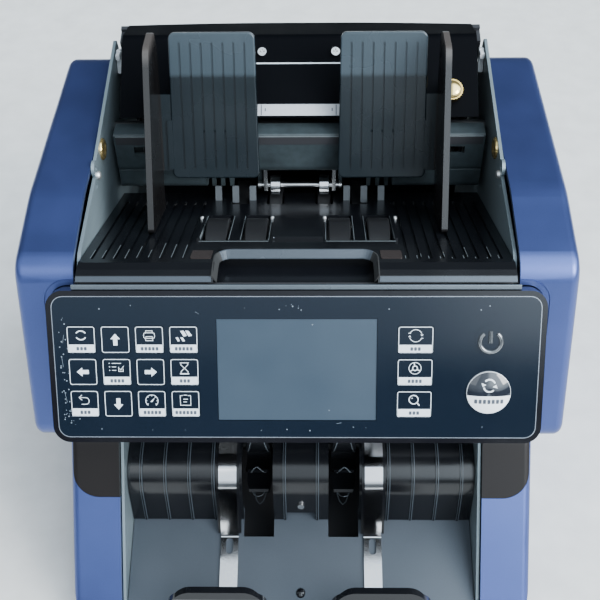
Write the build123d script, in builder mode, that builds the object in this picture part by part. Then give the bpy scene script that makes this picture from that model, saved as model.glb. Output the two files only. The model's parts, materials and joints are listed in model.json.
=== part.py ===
from build123d import *
import math
import os

# Banknote counting machine. Millimetres, X to the machine's right, Y to its back, Z up.
# The origin is on the table under the middle of the machine.

# Driving dimensions
WIDTH = 262.0
DEPTH = 276.0
FOOT_HEIGHT = 7.0
WALL = 2.5
GAP = 0.4
FRAME_INNER_X = 101.0
FRAME_SHEET = 1.6
COVER_INNER_X = 103.0
INSIDE_X = 100.6
HALF_DEPTH = DEPTH / 2
HALF_WIDTH = WIDTH / 2

# Control panel: a leaning plane with its own width, height and corner radius
PANEL_WIDTH = 228.6
PANEL_HEIGHT = 73.7
PANEL_CORNER = 8.0
PANEL_LEAN = 28.55
PANEL_CENTRE = (0, -104.1, 200.25)
PANEL = Plane(
    origin=PANEL_CENTRE,
    x_dir=(1, 0, 0),
    z_dir=(0, -math.cos(math.radians(PANEL_LEAN)), math.sin(math.radians(PANEL_LEAN))),
)
OVERLAY_RIM = 2.8
OVERLAY_SHEET = 1.6
OVERLAY_WIDTH = PANEL_WIDTH - 2 * OVERLAY_RIM
OVERLAY_HEIGHT = PANEL_HEIGHT - 2 * OVERLAY_RIM
SCREEN_WIDTH = 73.4
SCREEN_HEIGHT = 49.0
SCREEN_X = 0.5
SCREEN_Y = -1.1

# Keys on the panel
KEY_WIDTH = 12.9
WIDE_KEY_WIDTH = 16.0
KEY_HEIGHT = 12.7
KEY_SHEET = 1.9
KEY_PROUD = 0.15
KEY_GAP = 0.25
KEY_ROWS = (13.7, -1.9, -17.5)
KEY_COLUMNS = (-98.7, -82.95, -67.25, -51.5)
WIDE_KEY_X = 54.9
ROUND_KEY_X = 89.1
POWER_KEY_Y = 13.7
POWER_KEY_R = 7.0
RESTART_KEY_Y = -11.6
RESTART_KEY_R = 10.2
SQUARE_KEYS = (
    ("key_auto_mode", "key_up", "key_print", "key_batch"),
    ("key_left", "key_menu", "key_right", "key_add"),
    ("key_escape", "key_down", "key_speed", "key_detail"),
)
WIDE_KEYS = ("key_currency", "key_mode", "key_search")

# Hopper tray: a plane that slopes down to the rear, X across and Y down the slope
TRAY_SLOPE = 21.33
TRAY_FRONT = (0, -72.0, 237.0)
TRAY_LENGTH = 119.0
TRAY_SHEET = 3.0
TRAY = Plane(
    origin=TRAY_FRONT,
    x_dir=(1, 0, 0),
    z_dir=(0, math.sin(math.radians(TRAY_SLOPE)), math.cos(math.radians(TRAY_SLOPE))),
)
PICKUP_X = (-40.75, -21.0, 21.0, 40.75)
PICKUP_WIDTH = 11.0
FEED_X = (-32.5, -13.5, 13.5, 32.5)
FEED_WIDTH = 7.4

# Shaft axes as (Y, Z), and the turning parts on them
PICKUP_AXIS = (-29.5, 196.25)
PICKUP_R = 26.0
FEED_AXIS = (38.0, 172.0)
FEED_R = 25.0
STACKER_AXIS = (-34.0, 58.0)
STACKER_X = 25.2
STACKER_WIDTH = 14.6
MOTOR_AXIS = (-40.0, 130.0)
SEPARATOR_AXIS = (34.0, 203.0)
SEPARATOR_R = 5.5
SHAFT_R = 4.0
BEARING_R = 8.0
BEARING_WIDTH = 5.0
RUNNING = 0.05

# Sliding note guides
GUIDE_LEAN = 21.0
PADDLE_BOTTOM = (10.0, 225.0)
PADDLE_WIDTH = 43.5
PADDLE_FOOT_WIDTH = 45.8
PADDLE_HEIGHT = 75.0
PADDLE_X = 43.5
PADDLE_SHEET = 3.0
FENCE_X = 73.0
FENCE_SHEET = 3.0
ROD_AXIS = (46.0, 234.0)
ROD_R = 3.0

# Rear cover hinge, in the side frames
HINGE_AXIS = (124.0, 106.0)
HINGE_R = 3.0

# Side outline of the machine as (Y, Z), clockwise from the rear foot, with the corner radii
COVER_POINTS = [
    (HALF_DEPTH, FOOT_HEIGHT),
    (127.0, 150.0),
    (92.0, 254.0),
    (-30.0, 247.5),
    (-75.0, 237.3),
    (-103.5, 152.0),
    (-54.0, 101.0),
    (-62.0, 91.5),
    (-128.0, FOOT_HEIGHT),
]
COVER_RADII = [6, 40, 16, 60, 15, 9, 4, 4, 4]
FRAME_POINTS = [
    (131.5, 10.0),
    (131.5, 104.0),
    (121.0, 168.0),
    (80.0, 268.5),
    (-7.0, 248.6),
    (-12.0, 243.0),
    (-68.0, 235.0),
    (-96.0, 152.0),
    (-50.0, 102.0),
    (-58.0, 91.0),
    (-121.0, 10.0),
]
FRAME_RADII = [3, 20, 40, 3, 2, 3, 12, 6, 3, 3, 1.5]

# Feed cover behind the rollers and the wall above it, as (Y, Z), with the knob and screws on the wall
FEED_COVER_POINTS = [(38.0, 212.8), (24.5, 219.0), (23.0, 243.4), (34.0, 243.4)]
FEED_COVER_RADII = [6, 1.2]
WALL_FOOT = (30.0, 249.6)
WALL_TOP = (66.0, 277.6)
WALL_FRONT = Plane(
    origin=(0, WALL_FOOT[0], WALL_FOOT[1]),
    x_dir=(1, 0, 0),
    z_dir=(0, WALL_FOOT[1] - WALL_TOP[1], WALL_TOP[0] - WALL_FOOT[0]),
)
KNOB_X = 80.0
KNOB_ALONG = 12.5
SCREW_X = 19.5
SCREW_ALONG = 36.0

# Drive pulleys and the belt planes outside the side frames
PULLEY_R = 12.0
MOTOR_PULLEY_R = 8.0
PULLEY_WIDTH = 6.0
FLANGE = 1.6
RIGHT_BELT_X = 108.0
LEFT_INNER_BELT_X = -108.0
LEFT_OUTER_BELT_X = -117.5

# Stacker: the landing plate, the strip guards and the wheel slots
PLATE_REAR = (-64.0, 34.0)
PLATE_FRONT = (-121.0, 11.0)
GUARD_X = 42.4
GUARD_HALF = 6.8
STRIP_HALF = 5.2
WHEEL_SLOT_HALF = 9.0

# Base pan, feet and the mains parts at its back
PAN_REAR = 134.0
PAN_FRONT = -118.0
PAN_SHEET = 1.5
REAR_PANEL_TOP = 97.5
FOOT_PLACES = [(-86.0, -98.0), (86.0, -98.0), (-86.0, 112.0), (86.0, 112.0)]
INLET_X = -66.0
INLET_Z = 44.0
SWITCH_X = -34.0
INLET_OPENING = (27.6, 20.0)
SWITCH_OPENING = (21.4, 13.2)
SWITCH_PIVOT_Y = 131.0
SWITCH_PIN_R = 1.5


def turned(axis, x, radius, length):
    """A solid cylinder along X, centred on x."""
    return Pos(x, axis[0], axis[1]) * Rot(0, 90, 0) * Cylinder(radius, length, mode=Mode.PRIVATE)


def side_solid(points, radii, x_from, x_to):
    """A side outline pulled along X between two places."""
    with BuildPart(mode=Mode.PRIVATE) as solid:
        with BuildSketch(Plane.YZ.offset(x_from)):
            with BuildLine():
                FilletPolyline(*points, radius=radii, close=True)
            make_face()
        extrude(amount=x_to - x_from)
    return solid.part


def bent_sheet(points, radius, thickness, x_from, x_to):
    """A sheet bent along X: its left-hand face follows the points."""
    with BuildPart(mode=Mode.PRIVATE) as sheet:
        with BuildSketch(Plane.YZ.offset(x_from)):
            with BuildLine():
                FilletPolyline(*points, radius=radius)
                offset(amount=thickness, side=Side.RIGHT)
            make_face()
        extrude(amount=x_to - x_from)
    return sheet.part


def mirrored(part):
    return part.mirror(Plane.YZ)


def side_frames():
    """Two steel side plates that carry every shaft, each with a lug at its top edge."""
    with BuildPart() as frame:
        add(side_solid(FRAME_POINTS, FRAME_RADII, FRAME_INNER_X, FRAME_INNER_X + FRAME_SHEET))
        with BuildSketch(Plane.YZ.offset(FRAME_INNER_X)):
            with Locations((-10.5, 246.0)):
                Circle(4.2)
        extrude(amount=FRAME_SHEET)
        with BuildSketch(Plane.YZ.offset(FRAME_INNER_X)):
            with Locations(PICKUP_AXIS, FEED_AXIS, STACKER_AXIS):
                Circle(BEARING_R)
            with Locations(MOTOR_AXIS):
                Circle(7.0)
            with Locations(ROD_AXIS):
                Circle(ROD_R)
            with Locations(HINGE_AXIS):
                Circle(HINGE_R + RUNNING)
            with Locations((-10.5, 246.0), (-15.0, 238.5)):
                Circle(1.3)
        extrude(amount=FRAME_SHEET, mode=Mode.SUBTRACT)
    frame.part.label = "right_side_frame"
    export_step(frame.part, "parts/right_side_frame.step")
    left = mirrored(frame.part)
    left.label = "left_side_frame"
    export_step(left, "parts/left_side_frame.step")


def housing_block(grow):
    """The wedge behind the control panel, grown all round by a clearance."""
    back = [
        (-88.0 - 40, 232.6 + 40),
        (-121.7 - 40, 167.9 - 2),
        (-122.0, 161.0 - grow),
        (-96.5 + grow, 163.0 - grow),
        (-77.0 + grow, 225.0),
        (-80.0 + grow, 240.0),
    ]
    with BuildPart(mode=Mode.PRIVATE) as block:
        with BuildSketch(PANEL):
            RectangleRounded(PANEL_WIDTH + 2 * grow, PANEL_HEIGHT + 2 * grow, PANEL_CORNER + grow)
        extrude(amount=-40)
        with BuildSketch(Plane.YZ.offset(-HALF_WIDTH)):
            with BuildLine():
                Polyline(*back, close=True)
            make_face()
        extrude(amount=WIDTH, mode=Mode.INTERSECT)
    return block.part


def cover_shell():
    """Solid outer form of the right cover, with soft edges and a rounded foot."""
    outer_edge = 4.5
    foot_edge = 19.0
    with BuildPart(mode=Mode.PRIVATE) as shell:
        add(side_solid(COVER_POINTS, COVER_RADII, COVER_INNER_X, HALF_WIDTH))
        fillet(shell.faces().sort_by(Axis.X)[-1].edges(), radius=outer_edge)
        with BuildSketch(Plane.XZ.offset(-2 * DEPTH)):
            with BuildLine():
                FilletPolyline((COVER_INNER_X - 1, FOOT_HEIGHT - 1), (HALF_WIDTH, FOOT_HEIGHT),
                               (HALF_WIDTH + 1, 400), (COVER_INNER_X - 1, 400),
                               radius=[0.5, foot_edge, 0.5, 0.5], close=True)
            make_face()
        extrude(amount=4 * DEPTH, mode=Mode.INTERSECT)
    return shell.part


def cheek_zone(grow):
    """Room of the cheek in a cover: a band along the notch and over the top of the lower wing."""
    band = [(-101.3, 141.2), (-68.0, 103.0), (-72.0, 96.0), (-90.0, 66.3), (-80.6, 58.9),
            (-55.0, 90.6), (-46.5, 101.3), (-92.7, 149.4)]
    wing = Plane(origin=(0, -81.0, 68.0), x_dir=(1, 0, 0), z_dir=(0, -0.788, 0.616))
    corner = 15.0
    outer_x = HALF_WIDTH - 1.5 + grow
    with BuildPart(mode=Mode.PRIVATE) as zone:
        with BuildSketch(Plane.YZ.offset(COVER_INNER_X - 1)):
            with BuildLine():
                Polyline(*band, close=True)
            make_face()
            offset(amount=grow + 0.01, mode=Mode.REPLACE)
        extrude(amount=HALF_WIDTH - COVER_INNER_X)
        with BuildSketch(wing.offset(-60)):
            with BuildLine():
                FilletPolyline((90, -grow), (outer_x, -grow), (outer_x, 140), (90, 140),
                               radius=[0.5, corner + grow, 0.5, 0.5], close=True)
            make_face()
        extrude(amount=120, mode=Mode.INTERSECT)
    return zone.part


def side_covers():
    """Two painted shells, open towards the frames, cut away round the housing and the cheeks."""
    seam_distance = 2.8
    seam_width = 0.5
    seam_depth = 0.7
    cheek_gap = 0.2
    outside = cover_shell()
    with BuildPart() as core:
        with BuildSketch(Plane.YZ.offset(COVER_INNER_X)):
            with BuildLine():
                FilletPolyline(*COVER_POINTS, radius=COVER_RADII, close=True)
            make_face()
            offset(amount=-seam_depth, mode=Mode.REPLACE)
        extrude(amount=HALF_WIDTH)
    with BuildPart() as seam:
        with BuildSketch(PANEL.offset(20)):
            RectangleRounded(
                PANEL_WIDTH + 2 * (seam_distance + seam_width),
                PANEL_HEIGHT + 2 * (seam_distance + seam_width),
                PANEL_CORNER + seam_distance + seam_width,
            )
            RectangleRounded(
                PANEL_WIDTH + 2 * seam_distance,
                PANEL_HEIGHT + 2 * seam_distance,
                PANEL_CORNER + seam_distance,
                mode=Mode.SUBTRACT,
            )
        extrude(amount=-60)
    with BuildPart() as inside:
        with BuildSketch(Plane.YZ.offset(COVER_INNER_X - 1)):
            with BuildLine():
                FilletPolyline(*COVER_POINTS, radius=COVER_RADII, close=True)
            make_face()
            offset(amount=-WALL, mode=Mode.REPLACE)
        extrude(amount=HALF_WIDTH - WALL - COVER_INNER_X + 1)
        with BuildSketch(Plane.XZ.offset(-2 * DEPTH)):
            with BuildLine():
                FilletPolyline((COVER_INNER_X - 2, FOOT_HEIGHT), (HALF_WIDTH - WALL, FOOT_HEIGHT + WALL),
                               (HALF_WIDTH, 400), (COVER_INNER_X - 2, 400),
                               radius=[0.5, 16.5, 0.5, 0.5], close=True)
            make_face()
        extrude(amount=4 * DEPTH, mode=Mode.INTERSECT)
    with BuildPart() as cover:
        add(outside)
        add(seam.part - core.part, mode=Mode.SUBTRACT)
        add(inside.part, mode=Mode.SUBTRACT)
        add(housing_block(GAP), mode=Mode.SUBTRACT)
        add(cheek_zone(cheek_gap), mode=Mode.SUBTRACT)
    cover.part.label = "right_side_cover"
    export_step(cover.part, "parts/right_side_cover.step")
    left = mirrored(cover.part)
    left.label = "left_side_cover"
    export_step(left, "parts/left_side_cover.step")


def front_cheeks():
    """Dark plastic cheeks let into the notch of each cover, flush with the lower wing."""
    with BuildPart() as cheeks:
        add(cover_shell())
        add(cheek_zone(0), mode=Mode.INTERSECT)
        mirror(about=Plane.YZ)
    cheeks.part.label = "front_cheeks"
    export_step(cheeks.part, "parts/front_cheeks.step")


def panel_housing():
    """Black wedge that holds the screen, the key board and the overlay."""
    cavity_depth = 9.0
    with BuildPart() as housing:
        add(housing_block(0))
        with BuildSketch(PANEL):
            RectangleRounded(OVERLAY_WIDTH + 0.2, OVERLAY_HEIGHT + 0.2, PANEL_CORNER - OVERLAY_RIM)
        extrude(amount=-OVERLAY_SHEET, mode=Mode.SUBTRACT)
        with BuildSketch(PANEL.offset(-OVERLAY_SHEET)):
            RectangleRounded(OVERLAY_WIDTH - 6, OVERLAY_HEIGHT - 5, 3)
        extrude(amount=OVERLAY_SHEET - cavity_depth, mode=Mode.SUBTRACT)
    housing.part.label = "panel_housing"
    export_step(housing.part, "parts/panel_housing.step")


def panel_overlay():
    """Glossy front sheet with a window for the screen and a hole for each key."""
    with BuildPart() as overlay:
        with BuildSketch(PANEL):
            RectangleRounded(OVERLAY_WIDTH, OVERLAY_HEIGHT, PANEL_CORNER - OVERLAY_RIM)
            with Locations((SCREEN_X, SCREEN_Y)):
                Rectangle(SCREEN_WIDTH + GAP, SCREEN_HEIGHT + GAP, mode=Mode.SUBTRACT)
            for row in KEY_ROWS:
                for column in KEY_COLUMNS:
                    with Locations((column, row)):
                        RectangleRounded(
                            KEY_WIDTH + 2 * KEY_GAP, KEY_HEIGHT + 2 * KEY_GAP, 1, mode=Mode.SUBTRACT
                        )
                with Locations((WIDE_KEY_X, row)):
                    RectangleRounded(
                        WIDE_KEY_WIDTH + 2 * KEY_GAP, KEY_HEIGHT + 2 * KEY_GAP, 1, mode=Mode.SUBTRACT
                    )
            with Locations((ROUND_KEY_X, POWER_KEY_Y)):
                Circle(POWER_KEY_R + KEY_GAP, mode=Mode.SUBTRACT)
            with Locations((ROUND_KEY_X, RESTART_KEY_Y)):
                Circle(RESTART_KEY_R + KEY_GAP, mode=Mode.SUBTRACT)
        extrude(amount=-OVERLAY_SHEET)
    overlay.part.label = "panel_overlay"
    export_step(overlay.part, "parts/panel_overlay.step")


def flat_keys():
    """Fifteen flat keys, each with a thin raised frame."""
    places = []
    for names, row in zip(SQUARE_KEYS, KEY_ROWS):
        for name, column in zip(names, KEY_COLUMNS):
            places.append((name, column, row, KEY_WIDTH))
    for name, row in zip(WIDE_KEYS, KEY_ROWS):
        places.append((name, WIDE_KEY_X, row, WIDE_KEY_WIDTH))
    for name, column, row, width in places:
        with BuildPart() as key:
            with BuildSketch(PANEL.offset(KEY_PROUD)):
                with Locations((column, row)):
                    RectangleRounded(width, KEY_HEIGHT, 0.8)
            extrude(amount=-KEY_SHEET)
        key.part.label = name
        export_step(key.part, f"parts/{name}.step")


def round_keys():
    """The flat power key and the domed restart key."""
    with BuildPart() as power:
        with BuildSketch(PANEL.offset(KEY_PROUD)):
            with Locations((ROUND_KEY_X, POWER_KEY_Y)):
                Circle(POWER_KEY_R)
        extrude(amount=-KEY_SHEET)
    power.part.label = "power_key"
    export_step(power.part, "parts/power_key.step")

    dome_height = 2.2
    rim_height = 0.6
    place = PANEL.location * Pos(ROUND_KEY_X, RESTART_KEY_Y, 0)
    side = Plane(place) * Rot(90, 0, 0)
    with BuildPart() as restart:
        with BuildSketch(Plane(side)):
            with BuildLine():
                Line((0, rim_height - 3), (0, dome_height))
                ThreePointArc((0, dome_height), (RESTART_KEY_R * 0.6, dome_height * 0.86),
                              (RESTART_KEY_R, rim_height))
                Line((RESTART_KEY_R, rim_height), (RESTART_KEY_R, rim_height - 3))
                Line((RESTART_KEY_R, rim_height - 3), (0, rim_height - 3))
            make_face()
        revolve(axis=Axis(place.position, PANEL.z_dir))
    restart.part.label = "restart_key"
    export_step(restart.part, "parts/restart_key.step")


def lcd_module():
    """Screen glass in the overlay's window, on its metal-framed module."""
    glass_recess = 0.4
    glass_back = 2.0
    module_back = 5.6
    with BuildPart() as module:
        with BuildSketch(PANEL.offset(-glass_recess)):
            with Locations((SCREEN_X, SCREEN_Y)):
                Rectangle(SCREEN_WIDTH, SCREEN_HEIGHT)
        extrude(amount=glass_recess - glass_back)
        with BuildSketch(PANEL.offset(-glass_back)):
            with Locations((SCREEN_X, SCREEN_Y)):
                Rectangle(SCREEN_WIDTH + 8, SCREEN_HEIGHT + 9)
        extrude(amount=glass_back - module_back)
    module.part.label = "lcd_module"
    export_step(module.part, "parts/lcd_module.step")


def keypad_board():
    """Circuit board with one low push switch under each key."""
    board_front = 6.0
    board_sheet = 1.6
    switch_top = 2.4
    restart_switch_top = 3.2
    with BuildPart() as board:
        with BuildSketch(PANEL.offset(-board_front)):
            RectangleRounded(OVERLAY_WIDTH - 8, OVERLAY_HEIGHT - 7, 2)
        extrude(amount=-board_sheet)
        with BuildSketch(PANEL.offset(-switch_top)):
            for row in KEY_ROWS:
                for column in KEY_COLUMNS + (WIDE_KEY_X,):
                    with Locations((column, row)):
                        Rectangle(5, 5)
            with Locations((ROUND_KEY_X, POWER_KEY_Y)):
                Rectangle(5, 5)
        extrude(amount=switch_top - board_front)
        with BuildSketch(PANEL.offset(-restart_switch_top)):
            with Locations((ROUND_KEY_X, RESTART_KEY_Y)):
                Rectangle(6, 6)
        extrude(amount=restart_switch_top - board_front)
    board.part.label = "keypad_board"
    export_step(board.part, "parts/keypad_board.step")


def trim_strip():
    """Silver strip between the hopper tray and the top of the panel."""
    strip_height = 2.5
    with BuildPart() as strip:
        with BuildSketch(PANEL.offset(-0.6)):
            with Locations((0, PANEL_HEIGHT / 2 + 0.15 + strip_height / 2)):
                Rectangle(2 * COVER_INNER_X - 1.6, strip_height)
        extrude(amount=-1.6)
        edges = strip.edges().filter_by(Axis.X).sort_by(Axis.Y)[:2]
        fillet(edges, radius=0.6)
    strip.part.label = "trim_strip"
    export_step(strip.part, "parts/trim_strip.step")


def hopper_tray():
    """Ribbed tray with a finger recess in front and slots for the rollers."""
    land_height = 237.0
    land_front = -77.0
    chamfer_middle = (-80.2, 236.2)
    chamfer_foot = (-83.0, 234.4)
    recess_half = 37.5
    groove_pitch = 5.4
    groove_first = 52.0
    groove_count = 9
    groove_length = 96.0
    sheet = math.cos(math.radians(TRAY_SLOPE))
    run = TRAY_LENGTH * sheet
    drop = TRAY_LENGTH * math.sin(math.radians(TRAY_SLOPE))
    rear = (TRAY_FRONT[1] + run, TRAY_FRONT[2] - drop)
    section = [
        (land_front, land_height),
        (TRAY_FRONT[1], land_height),
        rear,
        (rear[0], rear[1] - TRAY_SHEET),
        (TRAY_FRONT[1] - 3, land_height - TRAY_SHEET),
        (chamfer_foot[0] + 0.8, land_height - TRAY_SHEET),
        chamfer_foot,
        chamfer_middle,
    ]
    with BuildPart() as tray:
        with BuildSketch(Plane.YZ.offset(-INSIDE_X)):
            with BuildLine():
                Polyline(*section, close=True)
            make_face()
        extrude(amount=2 * INSIDE_X)
        # finger recess, open to the front and lined with its own floor and walls
        with BuildSketch(Plane.XY.offset(215)):
            with Locations((0, -70)):
                RectangleRounded(2 * recess_half, 27, 6)
            with Locations((0, -80)):
                Rectangle(2 * recess_half, 8)
        extrude(amount=30, mode=Mode.SUBTRACT)
        with BuildSketch(Plane.XY.offset(223)):
            with Locations((0, -66.2)):
                Rectangle(2 * recess_half + 3, 20.6)
        extrude(amount=1.6)
        with BuildSketch(Plane.XY.offset(223)):
            with Locations((0, -56.5)):
                Rectangle(2 * recess_half, 2)
            with Locations((recess_half + 0.8, -66.2), (-recess_half - 0.8, -66.2)):
                Rectangle(1.6, 20.6)
        extrude(amount=8.0)
        # rounded rim along the rear edge of the recess
        with BuildSketch(TRAY.offset(-1.5)):
            with Locations((0, 15.2)):
                RectangleRounded(2 * recess_half - 4, 5.0, 2.2)
        extrude(amount=3.3)
        # grooves that run down the slope, each side of the roller field
        with BuildSketch(TRAY.offset(-0.9)):
            for side in (-1, 1):
                for index in range(groove_count):
                    x = side * (groove_first + index * groove_pitch)
                    with Locations((x, 5 + groove_length / 2)):
                        SlotOverall(groove_length, 1.5, rotation=90)
        extrude(amount=3, mode=Mode.SUBTRACT)
        # roller slots
        with BuildSketch(TRAY.offset(-8)):
            for x in PICKUP_X:
                with Locations((x, 53.5)):
                    RectangleRounded(PICKUP_WIDTH + 1.6, 42, 1.5)
            for x in FEED_X:
                with Locations((x, 109)):
                    Rectangle(FEED_WIDTH + 2.4, 26)
        extrude(amount=12, mode=Mode.SUBTRACT)
        # seats of the two sensor windows
        with BuildSketch(TRAY.offset(-1.2)):
            with Locations((-44.5, 11), (44.5, 11)):
                Rectangle(10.2, 11.2)
        extrude(amount=4, mode=Mode.SUBTRACT)
        # raised walls round the roller field
        with BuildSketch(TRAY):
            with Locations((-48.6, 51.5), (48.6, 51.5)):
                Rectangle(1.4, 40)
            with Locations((0, 52)):
                Rectangle(25, 36)
            with Locations((0, 70)):
                Circle(7, mode=Mode.SUBTRACT)
        extrude(amount=1.4)
    tray.part.label = "hopper_tray"
    export_step(tray.part, "parts/hopper_tray.step")


def tray_sensor_windows():
    with BuildPart() as windows:
        with BuildSketch(TRAY.offset(-1.2)):
            with Locations((-44.5, 11), (44.5, 11)):
                RectangleRounded(10, 11, 0.8)
        extrude(amount=1.5)
    windows.part.label = "tray_sensor_windows"
    export_step(windows.part, "parts/tray_sensor_windows.step")


def feed_cover():
    """Front of the rear module, over the V where the notes are drawn in."""
    sheet = 2.0
    rib_places = (22.5, 38.5, 43.5, 48.5)
    drum_inner_x = 51.0
    with BuildPart() as cover:
        add(bent_sheet(FEED_COVER_POINTS, FEED_COVER_RADII, sheet, -98, 98))
        with BuildSketch(Plane.XZ.offset(-60)):
            with Locations((-83, 233), (83, 233)):
                Rectangle(10, 5)
        extrude(amount=50, mode=Mode.SUBTRACT)
        # comb of ribs under the module, between the feed rollers
        with BuildSketch(Plane.YZ.offset(-1.1)):
            with BuildLine():
                Polyline((37.0, 213.6), (37.8, 199.5), (46.0, 199.5), (46.0, 216.0), (38.0, 216.0),
                         close=True)
            make_face()
        rib = extrude(amount=2.2, mode=Mode.PRIVATE)
        for place in rib_places:
            add(Pos(place, 0, 0) * rib)
            add(Pos(-place, 0, 0) * rib)
        # rounded drums under both ends, over the outer stretch of the tray
        with BuildSketch(Plane.YZ.offset(drum_inner_x)):
            with BuildLine():
                FilletPolyline((24.2, 220.5), (24.9, 208.8), (32.0, 204.8), (42.0, 206.0), (42.0, 213.5),
                               (30.0, 217.5), radius=[0.3, 5.5, 5.0, 1.0, 0.5, 0.3], close=True)
            make_face()
        drum = extrude(amount=98 - drum_inner_x, mode=Mode.PRIVATE)
        add(drum)
        add(drum.mirror(Plane.YZ))
    cover.part.label = "feed_cover"
    export_step(cover.part, "parts/feed_cover.step")


def back_wall():
    """Leaning wall behind the notes, folded over at the top into a cap with a crowned edge."""
    cap_rear = (92.0, 271.4)
    sheet = 2.2
    half_width = 94.5
    with BuildPart() as wall:
        add(bent_sheet([WALL_FOOT, WALL_TOP, cap_rear], 5, sheet, -half_width, half_width))
        with BuildSketch(Plane.XY.offset(WALL_FOOT[1] - 0.4)):
            with BuildLine():
                Line((-110, 80), (110, 80))
                Line((110, 80), (110, 86))
                ThreePointArc((110, 86), (0, 92.5), (-110, 86))
                Line((-110, 86), (-110, 80))
            make_face()
            with Locations((0, 50)):
                Rectangle(220, 62)
        extrude(amount=60, mode=Mode.INTERSECT)
        with BuildSketch(WALL_FRONT.offset(4)):
            with Locations((KNOB_X, KNOB_ALONG)):
                Circle(2.0 + RUNNING)
            with Locations((-SCREW_X, SCREW_ALONG), (SCREW_X, SCREW_ALONG)):
                Circle(1.5)
        extrude(amount=-10, mode=Mode.SUBTRACT)
    wall.part.label = "back_wall"
    export_step(wall.part, "parts/back_wall.step")


def adjusting_knob():
    """Brass thumb knob with a knurled rim on a thin stem."""
    notch_count = 24
    with BuildPart() as knob:
        with BuildSketch(WALL_FRONT.offset(2.0)):
            with Locations((KNOB_X, KNOB_ALONG)):
                Circle(5.6)
                with PolarLocations(5.7, notch_count):
                    Circle(0.3, mode=Mode.SUBTRACT)
        extrude(amount=5.0)
        with BuildSketch(WALL_FRONT.offset(2.0)):
            with Locations((KNOB_X, KNOB_ALONG)):
                Circle(3.4)
        extrude(amount=-1.6)
        with BuildSketch(WALL_FRONT.offset(2.0)):
            with Locations((KNOB_X, KNOB_ALONG)):
                Circle(2.0)
        extrude(amount=-16.0)
    knob.part.label = "adjusting_knob"
    export_step(knob.part, "parts/adjusting_knob.step")


def note_guides():
    """Two sliding guides: ribbed back-rest paddle, side fence, arm and carriage on the rod."""
    groove_pitch = 5.5
    groove_count = 7
    groove_length = 65.0
    arm_top = 248.6
    lean = math.radians(GUIDE_LEAN)
    paddle_face = Plane(
        origin=(PADDLE_X, PADDLE_BOTTOM[0], PADDLE_BOTTOM[1]),
        x_dir=(1, 0, 0),
        z_dir=(0, -math.cos(lean), math.sin(lean)),
    )
    fence = [(-34.0, 222.7), (12.5, 299.0), (33.0, 299.0), (36.0, 288.0), (30.0, 262.0),
             (9.6, 222.0), (5.5, 208.8)]
    with BuildPart() as guide:
        with BuildSketch(paddle_face):
            with BuildLine():
                FilletPolyline((-PADDLE_FOOT_WIDTH / 2, 0), (PADDLE_FOOT_WIDTH / 2, 0),
                               (PADDLE_WIDTH / 2, PADDLE_HEIGHT), (-PADDLE_WIDTH / 2, PADDLE_HEIGHT),
                               radius=3.2, close=True)
            make_face()
        extrude(amount=-PADDLE_SHEET)
        front = guide.faces().sort_by(Axis.Y)[0]
        fillet(front.edges(), radius=0.8)
        with BuildSketch(paddle_face.offset(-0.8)):
            for index in range(groove_count):
                x = (index - (groove_count - 1) / 2) * groove_pitch
                with Locations((x, PADDLE_HEIGHT / 2)):
                    SlotOverall(groove_length, 1.1, rotation=90)
        extrude(amount=3, mode=Mode.SUBTRACT)
        with BuildSketch(Plane.YZ.offset(FENCE_X - FENCE_SHEET / 2)):
            with BuildLine():
                FilletPolyline(*fence, radius=[2, 7, 7, 6, 8, 4, 2], close=True)
            make_face()
        extrude(amount=FENCE_SHEET)
        # web between the paddle and the fence, and the small stop lug beside it
        with BuildSketch(paddle_face.offset(-PADDLE_SHEET)):
            with Locations(((PADDLE_WIDTH / 2 + FENCE_X - PADDLE_X) / 2, 24)):
                Rectangle(FENCE_X - PADDLE_X - PADDLE_WIDTH / 2 + 2, 40)
        extrude(amount=2.4)
        with BuildSketch(paddle_face.offset(-1)):
            with Locations((PADDLE_WIDTH / 2 + 1.4, 18)):
                RectangleRounded(2.6, 26, 0.8)
        extrude(amount=1.8)
        # arm back over the rear module, and the carriage that slides on the rod
        with BuildSketch(Plane.YZ.offset(PADDLE_X - 8)):
            with BuildLine():
                Polyline((19.6, arm_top), (51.5, arm_top), (51.5, 229.5), (40.5, 229.5),
                         (40.5, 244.4), (19.0, 244.4), close=True)
            make_face()
            with Locations(ROD_AXIS):
                Circle(ROD_R + RUNNING, mode=Mode.SUBTRACT)
        extrude(amount=16)
    guide.part.label = "right_note_guide"
    export_step(guide.part, "parts/right_note_guide.step")
    left = mirrored(guide.part)
    left.label = "left_note_guide"
    export_step(left, "parts/left_note_guide.step")


def guide_rod():
    with BuildPart() as rod:
        add(turned(ROD_AXIS, 0, ROD_R, 2 * (FRAME_INNER_X + FRAME_SHEET)))
    rod.part.label = "guide_rod"
    export_step(rod.part, "parts/guide_rod.step")


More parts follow.
